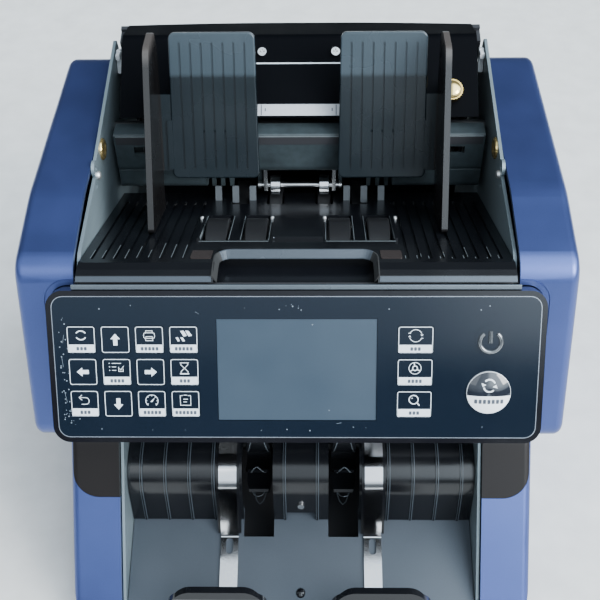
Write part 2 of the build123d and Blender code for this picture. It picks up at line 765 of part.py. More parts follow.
def separator():
    """Thin shaft on two arms under the rear module, with two free bearing rollers."""
    shaft_r = 1.5
    roller_x = 13.5
    roller_width = 5.7
    arm_x = 19.0
    with BuildPart() as shaft:
        add(turned(SEPARATOR_AXIS, 0, shaft_r, 44))
        with BuildSketch(Plane.YZ.offset(-1)):
            with BuildLine():
                Polyline((31.5, 200.5), (36.5, 200.5), (36.5, 213.48), (33.0, 215.08), close=True)
            make_face()
        arm = extrude(amount=2, mode=Mode.PRIVATE)
        for x in (-arm_x, arm_x):
            add(Pos(x, 0, 0) * arm)
        for x in (-22.5, 22.5):
            add(turned(SEPARATOR_AXIS, x, 2.4, 1.6))
    shaft.part.label = "separator_shaft"
    export_step(shaft.part, "parts/separator_shaft.step")

    with BuildPart() as rollers:
        for x in (-roller_x, roller_x):
            add(turned(SEPARATOR_AXIS, x, SEPARATOR_R, roller_width))
            add(turned(SEPARATOR_AXIS, x, shaft_r + RUNNING, roller_width + 1), mode=Mode.SUBTRACT)
        edges = rollers.edges().filter_by(GeomType.CIRCLE).group_by(SortBy.RADIUS)[-1]
        chamfer(edges, 0.4)
    rollers.part.label = "separator_rollers"
    export_step(rollers.part, "parts/separator_rollers.step")


def pulley(axis, x, radius):
    """A belt pulley with two thin flanges."""
    half = PULLEY_WIDTH / 2 + 0.5
    with BuildPart(mode=Mode.PRIVATE) as wheel:
        add(turned(axis, x, radius, PULLEY_WIDTH + 1))
        add(turned(axis, x - half, radius + FLANGE, 0.8))
        add(turned(axis, x + half, radius + FLANGE, 0.8))
    return wheel.part


def shafts():
    """Pick-up, feed and stacker shafts with their pulleys, and the motor's own shaft."""
    with BuildPart() as pickup:
        add(turned(PICKUP_AXIS, -4.5, SHAFT_R, 217))
        add(pulley(PICKUP_AXIS, LEFT_INNER_BELT_X, PULLEY_R))
    pickup.part.label = "pickup_shaft"
    export_step(pickup.part, "parts/pickup_shaft.step")

    with BuildPart() as feed:
        add(turned(FEED_AXIS, -4.5, SHAFT_R, 234))
        add(pulley(FEED_AXIS, RIGHT_BELT_X, PULLEY_R))
        add(pulley(FEED_AXIS, LEFT_INNER_BELT_X, PULLEY_R))
        add(pulley(FEED_AXIS, LEFT_OUTER_BELT_X, PULLEY_R))
    feed.part.label = "feed_shaft"
    export_step(feed.part, "parts/feed_shaft.step")

    with BuildPart() as stacker:
        add(turned(STACKER_AXIS, -9.0, SHAFT_R, 226))
        add(pulley(STACKER_AXIS, LEFT_OUTER_BELT_X, PULLEY_R))
    stacker.part.label = "stacker_shaft"
    export_step(stacker.part, "parts/stacker_shaft.step")

    with BuildPart() as motor:
        add(turned(MOTOR_AXIS, 100, 3.0, 24))
        add(pulley(MOTOR_AXIS, RIGHT_BELT_X, MOTOR_PULLEY_R))
    motor.part.label = "motor_pulley"
    export_step(motor.part, "parts/motor_pulley.step")


def rollers():
    """Rubber-tyred rollers on the pick-up and feed shafts."""
    with BuildPart() as pickups:
        for x in PICKUP_X:
            add(turned(PICKUP_AXIS, x, PICKUP_R, PICKUP_WIDTH))
            add(turned(PICKUP_AXIS, x, SHAFT_R, PICKUP_WIDTH + 1), mode=Mode.SUBTRACT)
        edges = pickups.edges().filter_by(GeomType.CIRCLE).group_by(SortBy.RADIUS)[-1]
        fillet(edges, 0.6)
    pickups.part.label = "pickup_rollers"
    export_step(pickups.part, "parts/pickup_rollers.step")

    with BuildPart() as feeds:
        for x in FEED_X:
            add(turned(FEED_AXIS, x, FEED_R, FEED_WIDTH))
            add(turned(FEED_AXIS, x, SHAFT_R, FEED_WIDTH + 1), mode=Mode.SUBTRACT)
        edges = feeds.edges().filter_by(GeomType.CIRCLE).group_by(SortBy.RADIUS)[-1]
        fillet(edges, 0.5)
    feeds.part.label = "feed_rollers"
    export_step(feeds.part, "parts/feed_rollers.step")


def shaft_bearings():
    with BuildPart() as bearings:
        for axis in (PICKUP_AXIS, FEED_AXIS, STACKER_AXIS):
            for side in (-1, 1):
                x = side * (FRAME_INNER_X + FRAME_SHEET - BEARING_WIDTH / 2)
                add(turned(axis, x, BEARING_R, BEARING_WIDTH))
                add(turned(axis, x, SHAFT_R + RUNNING, BEARING_WIDTH + 1), mode=Mode.SUBTRACT)
    bearings.part.label = "shaft_bearings"
    export_step(bearings.part, "parts/shaft_bearings.step")


def belt_loop(first, first_r, second, second_r, x):
    """A closed belt round two pulleys, just clear of them."""
    sheet = 1.4
    clear = 0.3
    with BuildPart(mode=Mode.PRIVATE) as belt:
        with BuildSketch(Plane.YZ.offset(x - PULLEY_WIDTH / 2 + 0.3)):
            with Locations(first):
                Circle(first_r + clear + sheet)
            with Locations(second):
                Circle(second_r + clear + sheet)
            make_hull()
        extrude(amount=PULLEY_WIDTH - 0.6)
        with BuildSketch(Plane.YZ.offset(x - PULLEY_WIDTH / 2)):
            with Locations(first):
                Circle(first_r + clear)
            with Locations(second):
                Circle(second_r + clear)
            make_hull()
        extrude(amount=PULLEY_WIDTH, mode=Mode.SUBTRACT)
    return belt.part


def drive_belts():
    with BuildPart() as belts:
        add(belt_loop(MOTOR_AXIS, MOTOR_PULLEY_R, FEED_AXIS, PULLEY_R, RIGHT_BELT_X))
        add(belt_loop(PICKUP_AXIS, PULLEY_R, FEED_AXIS, PULLEY_R, LEFT_INNER_BELT_X))
        add(belt_loop(STACKER_AXIS, PULLEY_R, FEED_AXIS, PULLEY_R, LEFT_OUTER_BELT_X))
    belts.part.label = "drive_belts"
    export_step(belts.part, "parts/drive_belts.step")


def drive_motor():
    body_r = 21.0
    body_length = 58.0
    body_x = FRAME_INNER_X - body_length / 2
    with BuildPart() as motor:
        add(turned(MOTOR_AXIS, body_x, body_r, body_length))
        add(turned(MOTOR_AXIS, body_x - body_length / 2 - 4, 9, 8))
        add(turned(MOTOR_AXIS, FRAME_INNER_X, 3.0 + RUNNING, 30), mode=Mode.SUBTRACT)
        edges = motor.edges().filter_by(GeomType.CIRCLE).group_by(SortBy.RADIUS)[-1]
        fillet(edges, 2)
    motor.part.label = "drive_motor"
    export_step(motor.part, "parts/drive_motor.step")


def stacker_wheels():
    """Two vane wheels: a hub with swept blades that narrow to their tips."""
    blade_count = 10
    blade_sheet = 1.5
    hub_r = 11.0
    with BuildPart() as blade:
        with BuildSketch(Plane.YZ.offset(-STACKER_WIDTH / 2)):
            with BuildLine():
                ThreePointArc((hub_r - 1, 0), (25.0, -7.0), (30.0, -19.6))
                offset(amount=blade_sheet, side=Side.LEFT)
            make_face()
        extrude(amount=STACKER_WIDTH)
        with BuildSketch(Plane.XY.offset(-10)):
            with BuildLine():
                Polyline((-STACKER_WIDTH / 2, 0), (-STACKER_WIDTH / 2, 22), (-2.6, 40), (2.6, 40),
                         (STACKER_WIDTH / 2, 22), (STACKER_WIDTH / 2, 0), close=True)
            make_face()
        extrude(amount=60, mode=Mode.INTERSECT)
    with BuildPart() as wheels:
        for x in (-STACKER_X, STACKER_X):
            add(turned(STACKER_AXIS, x, hub_r, STACKER_WIDTH))
            for index in range(blade_count):
                turn = Pos(x, *STACKER_AXIS) * Rot(index * 360 / blade_count, 0, 0)
                add(turn * blade.part)
            add(turned(STACKER_AXIS, x, SHAFT_R, STACKER_WIDTH + 1), mode=Mode.SUBTRACT)
    wheels.part.label = "stacker_wheels"
    export_step(wheels.part, "parts/stacker_wheels.step")


def deflector():
    """Ribbed black guard above the stacker plate, with wheel slots and strip guards."""
    outline = [(-71.0, 32.4), (-69.5, 73.5), (10.0, 85.0)]
    guard = [(-79.3, 30.1), (-68.6, 71.72), (-23.76, 85.09)]
    rib_pitch = 14.0
    first_rib = 51.0
    centre_rib = 9.6
    with BuildPart() as wall:
        add(bent_sheet(outline, 21, 2.6, -INSIDE_X, INSIDE_X))
        for side in (-1, 1):
            x = side * GUARD_X - GUARD_HALF
            add(bent_sheet(guard, 23.65, 9.0, x, x + 2 * GUARD_HALF))
        with BuildSketch(Plane.YZ.offset(-STACKER_X - WHEEL_SLOT_HALF)):
            with Locations((-54, 58)):
                Rectangle(100, 70)
        slot = extrude(amount=2 * WHEEL_SLOT_HALF, mode=Mode.PRIVATE)
        for x in (0, 2 * STACKER_X):
            add(Pos(x, 0, 0) * slot, mode=Mode.SUBTRACT)
        with BuildSketch(Plane.XZ.offset(60)):
            with Locations((0, 34)):
                Rectangle(17, 10)
        extrude(amount=20, mode=Mode.SUBTRACT)
    with BuildPart() as ribbed:
        add(wall.part)
        for place in [centre_rib] + [first_rib + index * rib_pitch for index in range(4)]:
            for x in (-place, place):
                add(bent_sheet([(-71.6, 32.4), (-70.1, 74.1), (10.0, 85.7)], 21, 1.0, x - 0.5, x + 0.5))
        with BuildSketch(Plane.YZ.offset(-INSIDE_X)):
            with BuildLine():
                Polyline((-130, 7.8), (-60, 36.0), (-60, 0), (-130, 0), close=True)
            make_face()
        extrude(amount=2 * INSIDE_X, mode=Mode.SUBTRACT)
    ribbed.part.label = "deflector"
    export_step(ribbed.part, "parts/deflector.step")


def stacker_plate():
    """Sloping satin plate that the counted notes land on, notched for the wheels."""
    with BuildPart() as plate:
        add(bent_sheet([(-122.4, 4.0), PLATE_FRONT, PLATE_REAR], 1.6, 1.4, -INSIDE_X, INSIDE_X))
        with BuildSketch(Plane.XY):
            for x in (-STACKER_X, STACKER_X):
                with Locations((x, -70)):
                    Rectangle(2 * WHEEL_SLOT_HALF, 20)
        extrude(amount=60, mode=Mode.SUBTRACT)
        with BuildSketch(Plane.XY):
            with Locations((0, -110.2)):
                Circle(2.7)
        extrude(amount=60, mode=Mode.SUBTRACT)
    plate.part.label = "stacker_plate"
    export_step(plate.part, "parts/stacker_plate.step")


def guide_strips():
    """Two polished steel strips over the guards and out along the plate."""
    path = [(-129.0, 9.3), (-80.5, 28.87), (-69.3, 72.4), (-24.0, 85.9)]
    sheet = 0.8
    slot_length = 8.6
    slot_width = 4.2
    with BuildPart() as strips:
        for side in (-1, 1):
            x = side * GUARD_X - STRIP_HALF
            add(bent_sheet(path, [1.5, 24.5], sheet, x, x + 2 * STRIP_HALF))
        with BuildSketch(Plane.XY):
            for side in (-1, 1):
                with Locations((side * GUARD_X, -86)):
                    SlotOverall(slot_length, slot_width, rotation=90)
        extrude(amount=60, mode=Mode.SUBTRACT)
    strips.part.label = "guide_strips"
    export_step(strips.part, "parts/guide_strips.step")


def note_stops():
    """Two upright stops at the ends of the strips, with rounded outer corners."""
    inner_x = 17.5
    outer_x = 71.5
    foot_z = 12.6
    top_z = 59.0
    with BuildPart() as stops:
        with BuildSketch(Plane.YZ.offset(inner_x)):
            with BuildLine():
                Polyline((-131.0, foot_z), (-134.6, top_z - 3), (-132.6, top_z), (-136.4, top_z),
                         (-HALF_DEPTH, top_z - 4), (-134.2, foot_z), close=True)
            make_face()
        extrude(amount=outer_x - inner_x)
        with BuildSketch(Plane.XZ.offset(100)):
            with Locations(((inner_x + outer_x) / 2, (foot_z + top_z) / 2 - 10)):
                RectangleRounded(outer_x - inner_x, top_z - foot_z + 20, 13)
        extrude(amount=60, mode=Mode.INTERSECT)
        with BuildSketch(Plane.YZ.offset(GUARD_X - STRIP_HALF)):
            with BuildLine():
                Polyline((-134.0, 8.4), (-134.0, 16.0), (-130.0, 16.0), (-118.0, 15.6), (-118.0, 13.9),
                         (-129.4, 9.2), close=True)
            make_face()
        extrude(amount=2 * STRIP_HALF)
        mirror(about=Plane.YZ)
    stops.part.label = "note_stops"
    export_step(stops.part, "parts/note_stops.step")


def base_pan():
    """Steel floor with low side flanges and an upright rear panel for the inlet and switch."""
    floor_z = FOOT_HEIGHT
    flange_height = 12.0
    with BuildPart() as pan:
        with BuildSketch(Plane.XY.offset(floor_z)):
            with Locations((0, (PAN_REAR + PAN_FRONT) / 2)):
                Rectangle(2 * INSIDE_X, PAN_REAR - PAN_FRONT)
        extrude(amount=PAN_SHEET)
        with BuildSketch(Plane.XY.offset(floor_z)):
            for side in (-1, 1):
                with Locations((side * (INSIDE_X - PAN_SHEET / 2), 15)):
                    Rectangle(PAN_SHEET, PAN_REAR - PAN_FRONT - 30)
        extrude(amount=flange_height)
        with BuildSketch(Plane.XZ.offset(-PAN_REAR)):
            with Locations((0, (REAR_PANEL_TOP + floor_z) / 2)):
                Rectangle(2 * INSIDE_X, REAR_PANEL_TOP - floor_z)
            with Locations((INLET_X, INLET_Z)):
                Rectangle(*INLET_OPENING, mode=Mode.SUBTRACT)
            with Locations((SWITCH_X, INLET_Z)):
                Rectangle(*SWITCH_OPENING, mode=Mode.SUBTRACT)
            with GridLocations(7, 22, 10, 1):
                with Locations((52, INLET_Z)):
                    SlotOverall(20, 3, rotation=90, mode=Mode.SUBTRACT)
        extrude(amount=PAN_SHEET)
        with BuildSketch(Plane.XY.offset(floor_z)):
            with Locations(*FOOT_PLACES):
                Circle(1.7)
        extrude(amount=PAN_SHEET, mode=Mode.SUBTRACT)
    pan.part.label = "base_pan"
    export_step(pan.part, "parts/base_pan.step")


def rubber_feet():
    with BuildPart() as feet:
        with BuildSketch(Plane.XY):
            with Locations(*FOOT_PLACES):
                Circle(9)
        extrude(amount=FOOT_HEIGHT, taper=-6)
        with BuildSketch(Plane.XY):
            with Locations(*FOOT_PLACES):
                Circle(4)
        extrude(amount=3, mode=Mode.SUBTRACT)
    feet.part.label = "rubber_feet"
    export_step(feet.part, "parts/rubber_feet.step")


def power_inlet():
    """Mains inlet socket with three pins, and the frame of the switch beside it."""
    flange = 2.0
    socket_depth = 16.0
    with BuildPart() as inlet:
        with BuildSketch(Plane.XZ.offset(-PAN_REAR)):
            with Locations((INLET_X, INLET_Z)):
                RectangleRounded(32, 25, 2)
            with Locations((SWITCH_X, INLET_Z)):
                RectangleRounded(25, 17, 1.5)
        extrude(amount=-flange)
        with BuildSketch(Plane.XZ.offset(-PAN_REAR)):
            with Locations((INLET_X, INLET_Z)):
                Rectangle(INLET_OPENING[0] - 0.4, INLET_OPENING[1] - 0.4)
            with Locations((SWITCH_X, INLET_Z)):
                Rectangle(SWITCH_OPENING[0] - 0.4, SWITCH_OPENING[1] - 0.4)
        extrude(amount=22)
        with BuildSketch(Plane.XZ.offset(-PAN_REAR - flange)):
            with Locations((INLET_X, INLET_Z)):
                RectangleRounded(24, 16, 3)
        extrude(amount=socket_depth + flange, mode=Mode.SUBTRACT)
        with BuildSketch(Plane.XZ.offset(-PAN_REAR - flange)):
            with Locations((SWITCH_X, INLET_Z)):
                Rectangle(18.8, 10.8)
        extrude(amount=14, mode=Mode.SUBTRACT)
        with BuildSketch(Plane.XY.offset(INLET_Z - 8)):
            with Locations((SWITCH_X, SWITCH_PIVOT_Y)):
                Circle(SWITCH_PIN_R + RUNNING)
        extrude(amount=16, mode=Mode.SUBTRACT)
        with BuildSketch(Plane.XZ.offset(-PAN_REAR + socket_depth)):
            with Locations((INLET_X - 7, INLET_Z - 2), (INLET_X, INLET_Z + 2), (INLET_X + 7, INLET_Z - 2)):
                Rectangle(2, 4)
        extrude(amount=-13)
    inlet.part.label = "power_inlet"
    export_step(inlet.part, "parts/power_inlet.step")


def rocker_switch():
    """Rocker on a short pin, shown with its left end up: it tips by twice its rest angle."""
    rest_angle = 7.0
    half_length = 7.6
    end_height = 4.4
    middle_height = 3.2
    half_width = 4.9
    pin_half = 5.9
    with BuildPart() as rocker:
        with BuildSketch(Plane.XY.offset(-half_width)):
            with BuildLine():
                FilletPolyline((-half_length, -2.0), (-half_length, end_height), (0, middle_height),
                               (half_length, end_height), (half_length, -2.0), (0, -3.6),
                               radius=[1, 0.8, 20, 0.8, 1, 3], close=True)
            make_face()
        extrude(amount=2 * half_width)
        with BuildSketch(Plane.XY.offset(-pin_half)):
            Circle(SWITCH_PIN_R)
        extrude(amount=2 * pin_half)
    placed = Pos(SWITCH_X, SWITCH_PIVOT_Y, INLET_Z) * Rot(0, 0, -rest_angle) * rocker.part
    placed.label = "rocker_switch"
    export_step(placed, "parts/rocker_switch.step")


def rear_cover():
    """Hinged rear door with inner ribs that carry the sensor bar, and a lip to open it by."""
    outline = [(94.0, 268.8), (124.5, 170.0), (134.3, 101.5)]
    sheet = 2.5
    rib_sheet = 3.0
    bar_rear = 80.5
    with BuildPart() as door:
        add(bent_sheet(outline, 60, sheet, -INSIDE_X + 0.3, INSIDE_X - 0.3))
        with BuildSketch(Plane.YZ.offset(-rib_sheet / 2)):
            with BuildLine():
                Polyline((bar_rear, 160.0), (bar_rear, 184.0), (112.0, 196.0), (118.0, 183.0),
                         (124.0, 152.0), close=True)
            make_face()
        rib = extrude(amount=rib_sheet, mode=Mode.PRIVATE)
        for x in (-80, 0, 80):
            add(Pos(x, 0, 0) * rib)
        # side flanges that close the gap to the frames, with the hinge ears at their feet
        with BuildSketch(Plane.YZ.offset(INSIDE_X - 2.3)):
            with BuildLine():
                Polyline((84.0, 264.0), (93.0, 266.5), (122.5, 170.0), (132.0, 104.0), (119.5, 104.0),
                         (119.5, 110.0), (108.0, 168.0), close=True)
            make_face()
            with Locations(HINGE_AXIS):
                Circle(5)
        flange = extrude(amount=2, mode=Mode.PRIVATE)
        add(flange)
        add(flange.mirror(Plane.YZ))
        for side in (-1, 1):
            add(turned(HINGE_AXIS, side * (INSIDE_X - 0.4), HINGE_R, 4.0))
        with BuildSketch(Plane.YZ.offset(-22)):
            with BuildLine():
                Polyline((96.0, 262.0), (101.5, 262.0), (104.4, 257.0), (103.0, 249.0), (97.6, 251.0),
                         close=True)
            make_face()
        extrude(amount=44)
    door.part.label = "rear_cover"
    export_step(door.part, "parts/rear_cover.step")


def rear_sensor_bar():
    """Long sensor bar on the rear cover's ribs, facing the feed rollers."""
    with BuildPart() as bar:
        with BuildSketch(Plane.YZ.offset(-92)):
            with Locations((73.5, 172)):
                RectangleRounded(14, 24, 1.5)
        extrude(amount=184)
        with BuildSketch(Plane.XZ.offset(-66.5)):
            with Locations((0, 172)):
                Rectangle(170, 6)
        extrude(amount=-1.2, mode=Mode.SUBTRACT)
    bar.part.label = "rear_sensor_bar"
    export_step(bar.part, "parts/rear_sensor_bar.step")


def boards():
    """Control board and power supply, both standing on the pan's floor on posts."""
    pan_top = FOOT_HEIGHT + PAN_SHEET
    board_z = pan_top + 6
    with BuildPart() as control:
        with BuildSketch(Plane.XY.offset(board_z)):
            with Locations((48, 84)):
                Rectangle(92, 66)
        extrude(amount=1.6)
        with BuildSketch(Plane.XY.offset(board_z + 1.6)):
            with Locations((36, 90), (66, 74)):
                Rectangle(20, 20)
            with Locations((12, 62), (12, 78), (12, 94)):
                Rectangle(8, 12)
        extrude(amount=3)
        with BuildSketch(Plane.XY.offset(board_z + 1.6)):
            with Locations((82, 98), (82, 110)):
                Circle(4.5)
        extrude(amount=12)
        with BuildSketch(Plane.XY.offset(pan_top)):
            with Locations((48, 84)):
                with GridLocations(84, 58, 2, 2):
                    Circle(3)
        extrude(amount=6)
    control.part.label = "control_board"
    export_step(control.part, "parts/control_board.step")

    with BuildPart() as supply:
        with BuildSketch(Plane.XY.offset(pan_top)):
            with Locations((-50, 70)):
                Rectangle(82, 62)
        extrude(amount=34)
        chamfer(supply.edges().filter_by(Axis.Z), 2)
        with BuildSketch(Plane.XY.offset(pan_top + 34)):
            with Locations((-50, 70)):
                with GridLocations(8, 20, 8, 2):
                    SlotOverall(14, 3, rotation=90)
        extrude(amount=-1, mode=Mode.SUBTRACT)
    supply.part.label = "power_supply"
    export_step(supply.part, "parts/power_supply.step")


def frame_screws():
    """Cross-head screws of the back wall and the deflector."""
    deflector_screw = Plane(origin=(0, -70.6, 46.0), x_dir=(1, 0, 0), z_dir=(0, -1, 0.04))
    head_r = 2.3
    head_height = 1.5
    places = [(-SCREW_X, SCREW_ALONG), (SCREW_X, SCREW_ALONG)]
    with BuildPart() as screws:
        with BuildSketch(WALL_FRONT):
            with Locations(*places):
                Circle(head_r)
        extrude(amount=head_height)
        with BuildSketch(WALL_FRONT):
            with Locations(*places):
                Circle(1.5)
        extrude(amount=-6)
        with BuildSketch(WALL_FRONT.offset(head_height)):
            with Locations(*places):
                Rectangle(2.9, 0.7)
                Rectangle(0.7, 2.9)
        extrude(amount=-0.9, mode=Mode.SUBTRACT)
        with BuildSketch(deflector_screw):
            Circle(2.0)
        extrude(amount=1.2)
    screws.part.label = "frame_screws"
    export_step(screws.part, "parts/frame_screws.step")


if __name__ == "__main__":
    os.makedirs("parts", exist_ok=True)
    side_frames()
    side_covers()
    front_cheeks()
    panel_housing()
    panel_overlay()
    flat_keys()
    round_keys()
    lcd_module()
    keypad_board()
    trim_strip()
    hopper_tray()
    tray_sensor_windows()
    feed_cover()
    back_wall()
    adjusting_knob()
    note_guides()
    guide_rod()
    separator()
    shafts()
    rollers()
    shaft_bearings()
    drive_belts()
    drive_motor()
    stacker_wheels()
    deflector()
    stacker_plate()
    guide_strips()
    note_stops()
    base_pan()
    rubber_feet()
    power_inlet()
    rocker_switch()
    rear_cover()
    rear_sensor_bar()
    boards()
    frame_screws()
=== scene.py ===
import json
import math
import random

import bmesh
import bpy
from mathutils import Matrix, Vector
from mathutils.bvhtree import BVHTree


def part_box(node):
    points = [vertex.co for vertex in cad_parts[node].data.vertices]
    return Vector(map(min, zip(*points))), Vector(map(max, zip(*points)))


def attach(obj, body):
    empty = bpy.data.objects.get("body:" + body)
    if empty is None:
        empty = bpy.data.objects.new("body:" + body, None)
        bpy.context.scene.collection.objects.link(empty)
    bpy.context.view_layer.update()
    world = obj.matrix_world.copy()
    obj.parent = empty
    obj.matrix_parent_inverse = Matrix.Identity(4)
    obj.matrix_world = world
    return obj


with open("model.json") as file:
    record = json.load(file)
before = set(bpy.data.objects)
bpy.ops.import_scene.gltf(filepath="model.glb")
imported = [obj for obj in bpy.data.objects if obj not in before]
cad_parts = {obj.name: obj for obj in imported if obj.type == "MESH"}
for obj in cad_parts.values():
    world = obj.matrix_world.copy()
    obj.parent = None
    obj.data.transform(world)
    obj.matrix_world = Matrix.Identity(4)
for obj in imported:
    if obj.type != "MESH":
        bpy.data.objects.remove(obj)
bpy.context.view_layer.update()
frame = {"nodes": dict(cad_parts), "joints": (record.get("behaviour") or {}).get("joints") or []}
NODES = frame["nodes"]
MM = 0.001

# The panel's plane, from the direction in which its keys are pressed
PRESS = next(joint for joint in frame["joints"] if joint["name"] == "power_key_press")
PANEL_OUT = -Vector(PRESS["axis"]).normalized()
PANEL_RIGHT = Vector((1, 0, 0))
PANEL_UP = PANEL_OUT.cross(PANEL_RIGHT).normalized()
PANEL_AXES = (PANEL_RIGHT, PANEL_UP, PANEL_OUT)

# The wall behind the notes: out of it along the knob's axis, up its slope
KNOB_ALONG = 12.5
KNOB = next(joint for joint in frame["joints"] if joint["name"] == "knob_turn")
WALL_OUT = Vector(KNOB["axis"]).normalized()
WALL_AXES = (PANEL_RIGHT, WALL_OUT.cross(PANEL_RIGHT).normalized(), WALL_OUT)
WALL_FOOT = Vector(KNOB["pos_m"]) - WALL_AXES[1] * KNOB_ALONG * MM
WALL_FOOT.x = 0.0


def tilt(back, up):
    """Three axes: across the machine, along (back, up), and square to both."""
    return Vector((1, 0, 0)), Vector((0, back, up)), Vector((0, -up, back))


def skin(*nodes):
    """The surface of CAD nodes, for laying things on it."""
    spots, faces = [], []
    for name in nodes:
        piece = NODES[name]
        first = len(spots)
        spots += [piece.matrix_world @ spot.co for spot in piece.data.vertices]
        faces += [[first + i for i in face.vertices] for face in piece.data.polygons]
    return BVHTree.FromPolygons(spots, faces)


def centre(node):
    low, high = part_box(node)
    return (low + high) / 2


def link(name, data):
    thing = bpy.data.objects.new(name, data)
    bpy.context.scene.collection.objects.link(thing)
    return thing


# ---------------------------------------------------------------- camera, floor, light

CAMERA_PLACE = Vector((0.0108, -0.420, 0.538))
CAMERA_PITCH = math.radians(43.0)
CAMERA_YAW = math.radians(1.505)
SKY_BRIGHT = 1.6
SKY_DIM = 0.14
FLOOR_REACH = 4.0


def make_camera():
    """The viewpoint: in front of the machine, above it, looking down at 43 degrees."""
    pitch, yaw = CAMERA_PITCH, CAMERA_YAW
    ahead = Vector((-math.sin(yaw) * math.cos(pitch), math.cos(yaw) * math.cos(pitch), -math.sin(pitch)))
    up = Vector((1, 0, 0)).cross(ahead).normalized()
    right = ahead.cross(up).normalized()
    turn = Matrix((right, up, -ahead)).transposed()
    data = bpy.data.cameras.new("camera")
    data.lens = 60.0
    data.sensor_width = 36.0
    data.clip_start = 0.01
    camera = link("camera", data)
    camera.matrix_world = Matrix.Translation(CAMERA_PLACE) @ turn.to_4x4()
    bpy.context.scene.camera = camera


def make_area(name, place, target, size, power, colour):
    data = bpy.data.lights.new(name, "AREA")
    data.shape = "RECTANGLE"
    data.size = size[0]
    data.size_y = size[1]
    data.energy = power
    data.color = colour
    lamp = link(name, data)
    way = (Vector(target) - Vector(place)).normalized()
    lamp.matrix_world = Matrix.Translation(place) @ way.to_track_quat("-Z", "Y").to_matrix().to_4x4()


def make_lights():
    middle = (0.0, 0.0, 0.15)
    make_area("window_right", (1.25, -1.00, 1.15), middle, (0.8, 0.8), 38.0, (1.0, 0.99, 0.97))
    make_area("window_left", (-0.9, -1.5, 1.5), middle, (1.2, 1.0), 6.0, (0.92, 0.96, 1.0))
    make_sky()


def make_sky():
    """A dim room with a broad bright zone overhead and in front, brightest on the front right."""
    world = bpy.data.worlds.new("studio")
    world.use_nodes = True
    tree = world.node_tree
    sky = tree.nodes["Background"]
    place = node_of(tree, "ShaderNodeTexCoord")
    split = node_of(tree, "ShaderNodeSeparateXYZ")
    tree.links.new(place.outputs["Generated"], split.inputs["Vector"])

    def ramp(axis, start, end, low, high):
        step = node_of(tree, "ShaderNodeMapRange", interpolation_type="SMOOTHSTEP")
        for key, value in (("From Min", start), ("From Max", end), ("To Min", low), ("To Max", high)):
            step.inputs[key].default_value = value
        tree.links.new(split.outputs[axis], step.inputs["Value"])
        return step.outputs["Result"]

    def times(one, two):
        node = node_of(tree, "ShaderNodeMath", operation="MULTIPLY")
        tree.links.new(one, node.inputs[0])
        tree.links.new(two, node.inputs[1])
        return node.outputs["Value"]

    frontal = ramp("Y", -0.05, 0.42, 1.0, 0.0)
    above = ramp("Z", 0.17, 0.21, 0.0, 1.0)
    higher = ramp("Z", 0.19, 0.38, 0.40, 1.0)
    zenith = ramp("Z", 0.80, 0.98, 1.0, 0.92)
    right = ramp("X", -0.25, 0.10, 0.80, 1.20)
    window = ramp("X", 0.06, 0.24, 1.0, 3.6)
    glow = times(times(frontal, above), times(times(higher, zenith), times(right, window)))
    gain = node_of(tree, "ShaderNodeMath", operation="MULTIPLY_ADD")
    gain.inputs[1].default_value = SKY_BRIGHT
    gain.inputs[2].default_value = SKY_DIM
    tree.links.new(glow, gain.inputs[0])
    tree.links.new(gain.outputs["Value"], sky.inputs["Strength"])
    sky.inputs["Color"].default_value = (0.78, 0.90, 1.0, 1.0)
    bpy.context.scene.world = world


def make_floor():
    bm = bmesh.new()
    for x, y in ((-1, -1), (1, -1), (1, 1), (-1, 1)):
        bm.verts.new((x * FLOOR_REACH, y * FLOOR_REACH, 0.0))
    bm.faces.new(bm.verts)
    mesh = bpy.data.meshes.new("floor")
    bm.to_mesh(mesh)
    bm.free()
    floor = link("floor", mesh)
    floor.data.materials.append(surface("floor_paper", (0.72, 0.71, 0.69), 0.85, bump=0.02, scale=60))


# ---------------------------------------------------------------- materials

RELIEF_DEPTH = 0.0002
BROAD_SCALE = 28.0
DUST_SCALE = 260.0


def node_of(tree, kind, **values):
    node = tree.nodes.new(kind)
    for name, value in values.items():
        setattr(node, name, value)
    return node


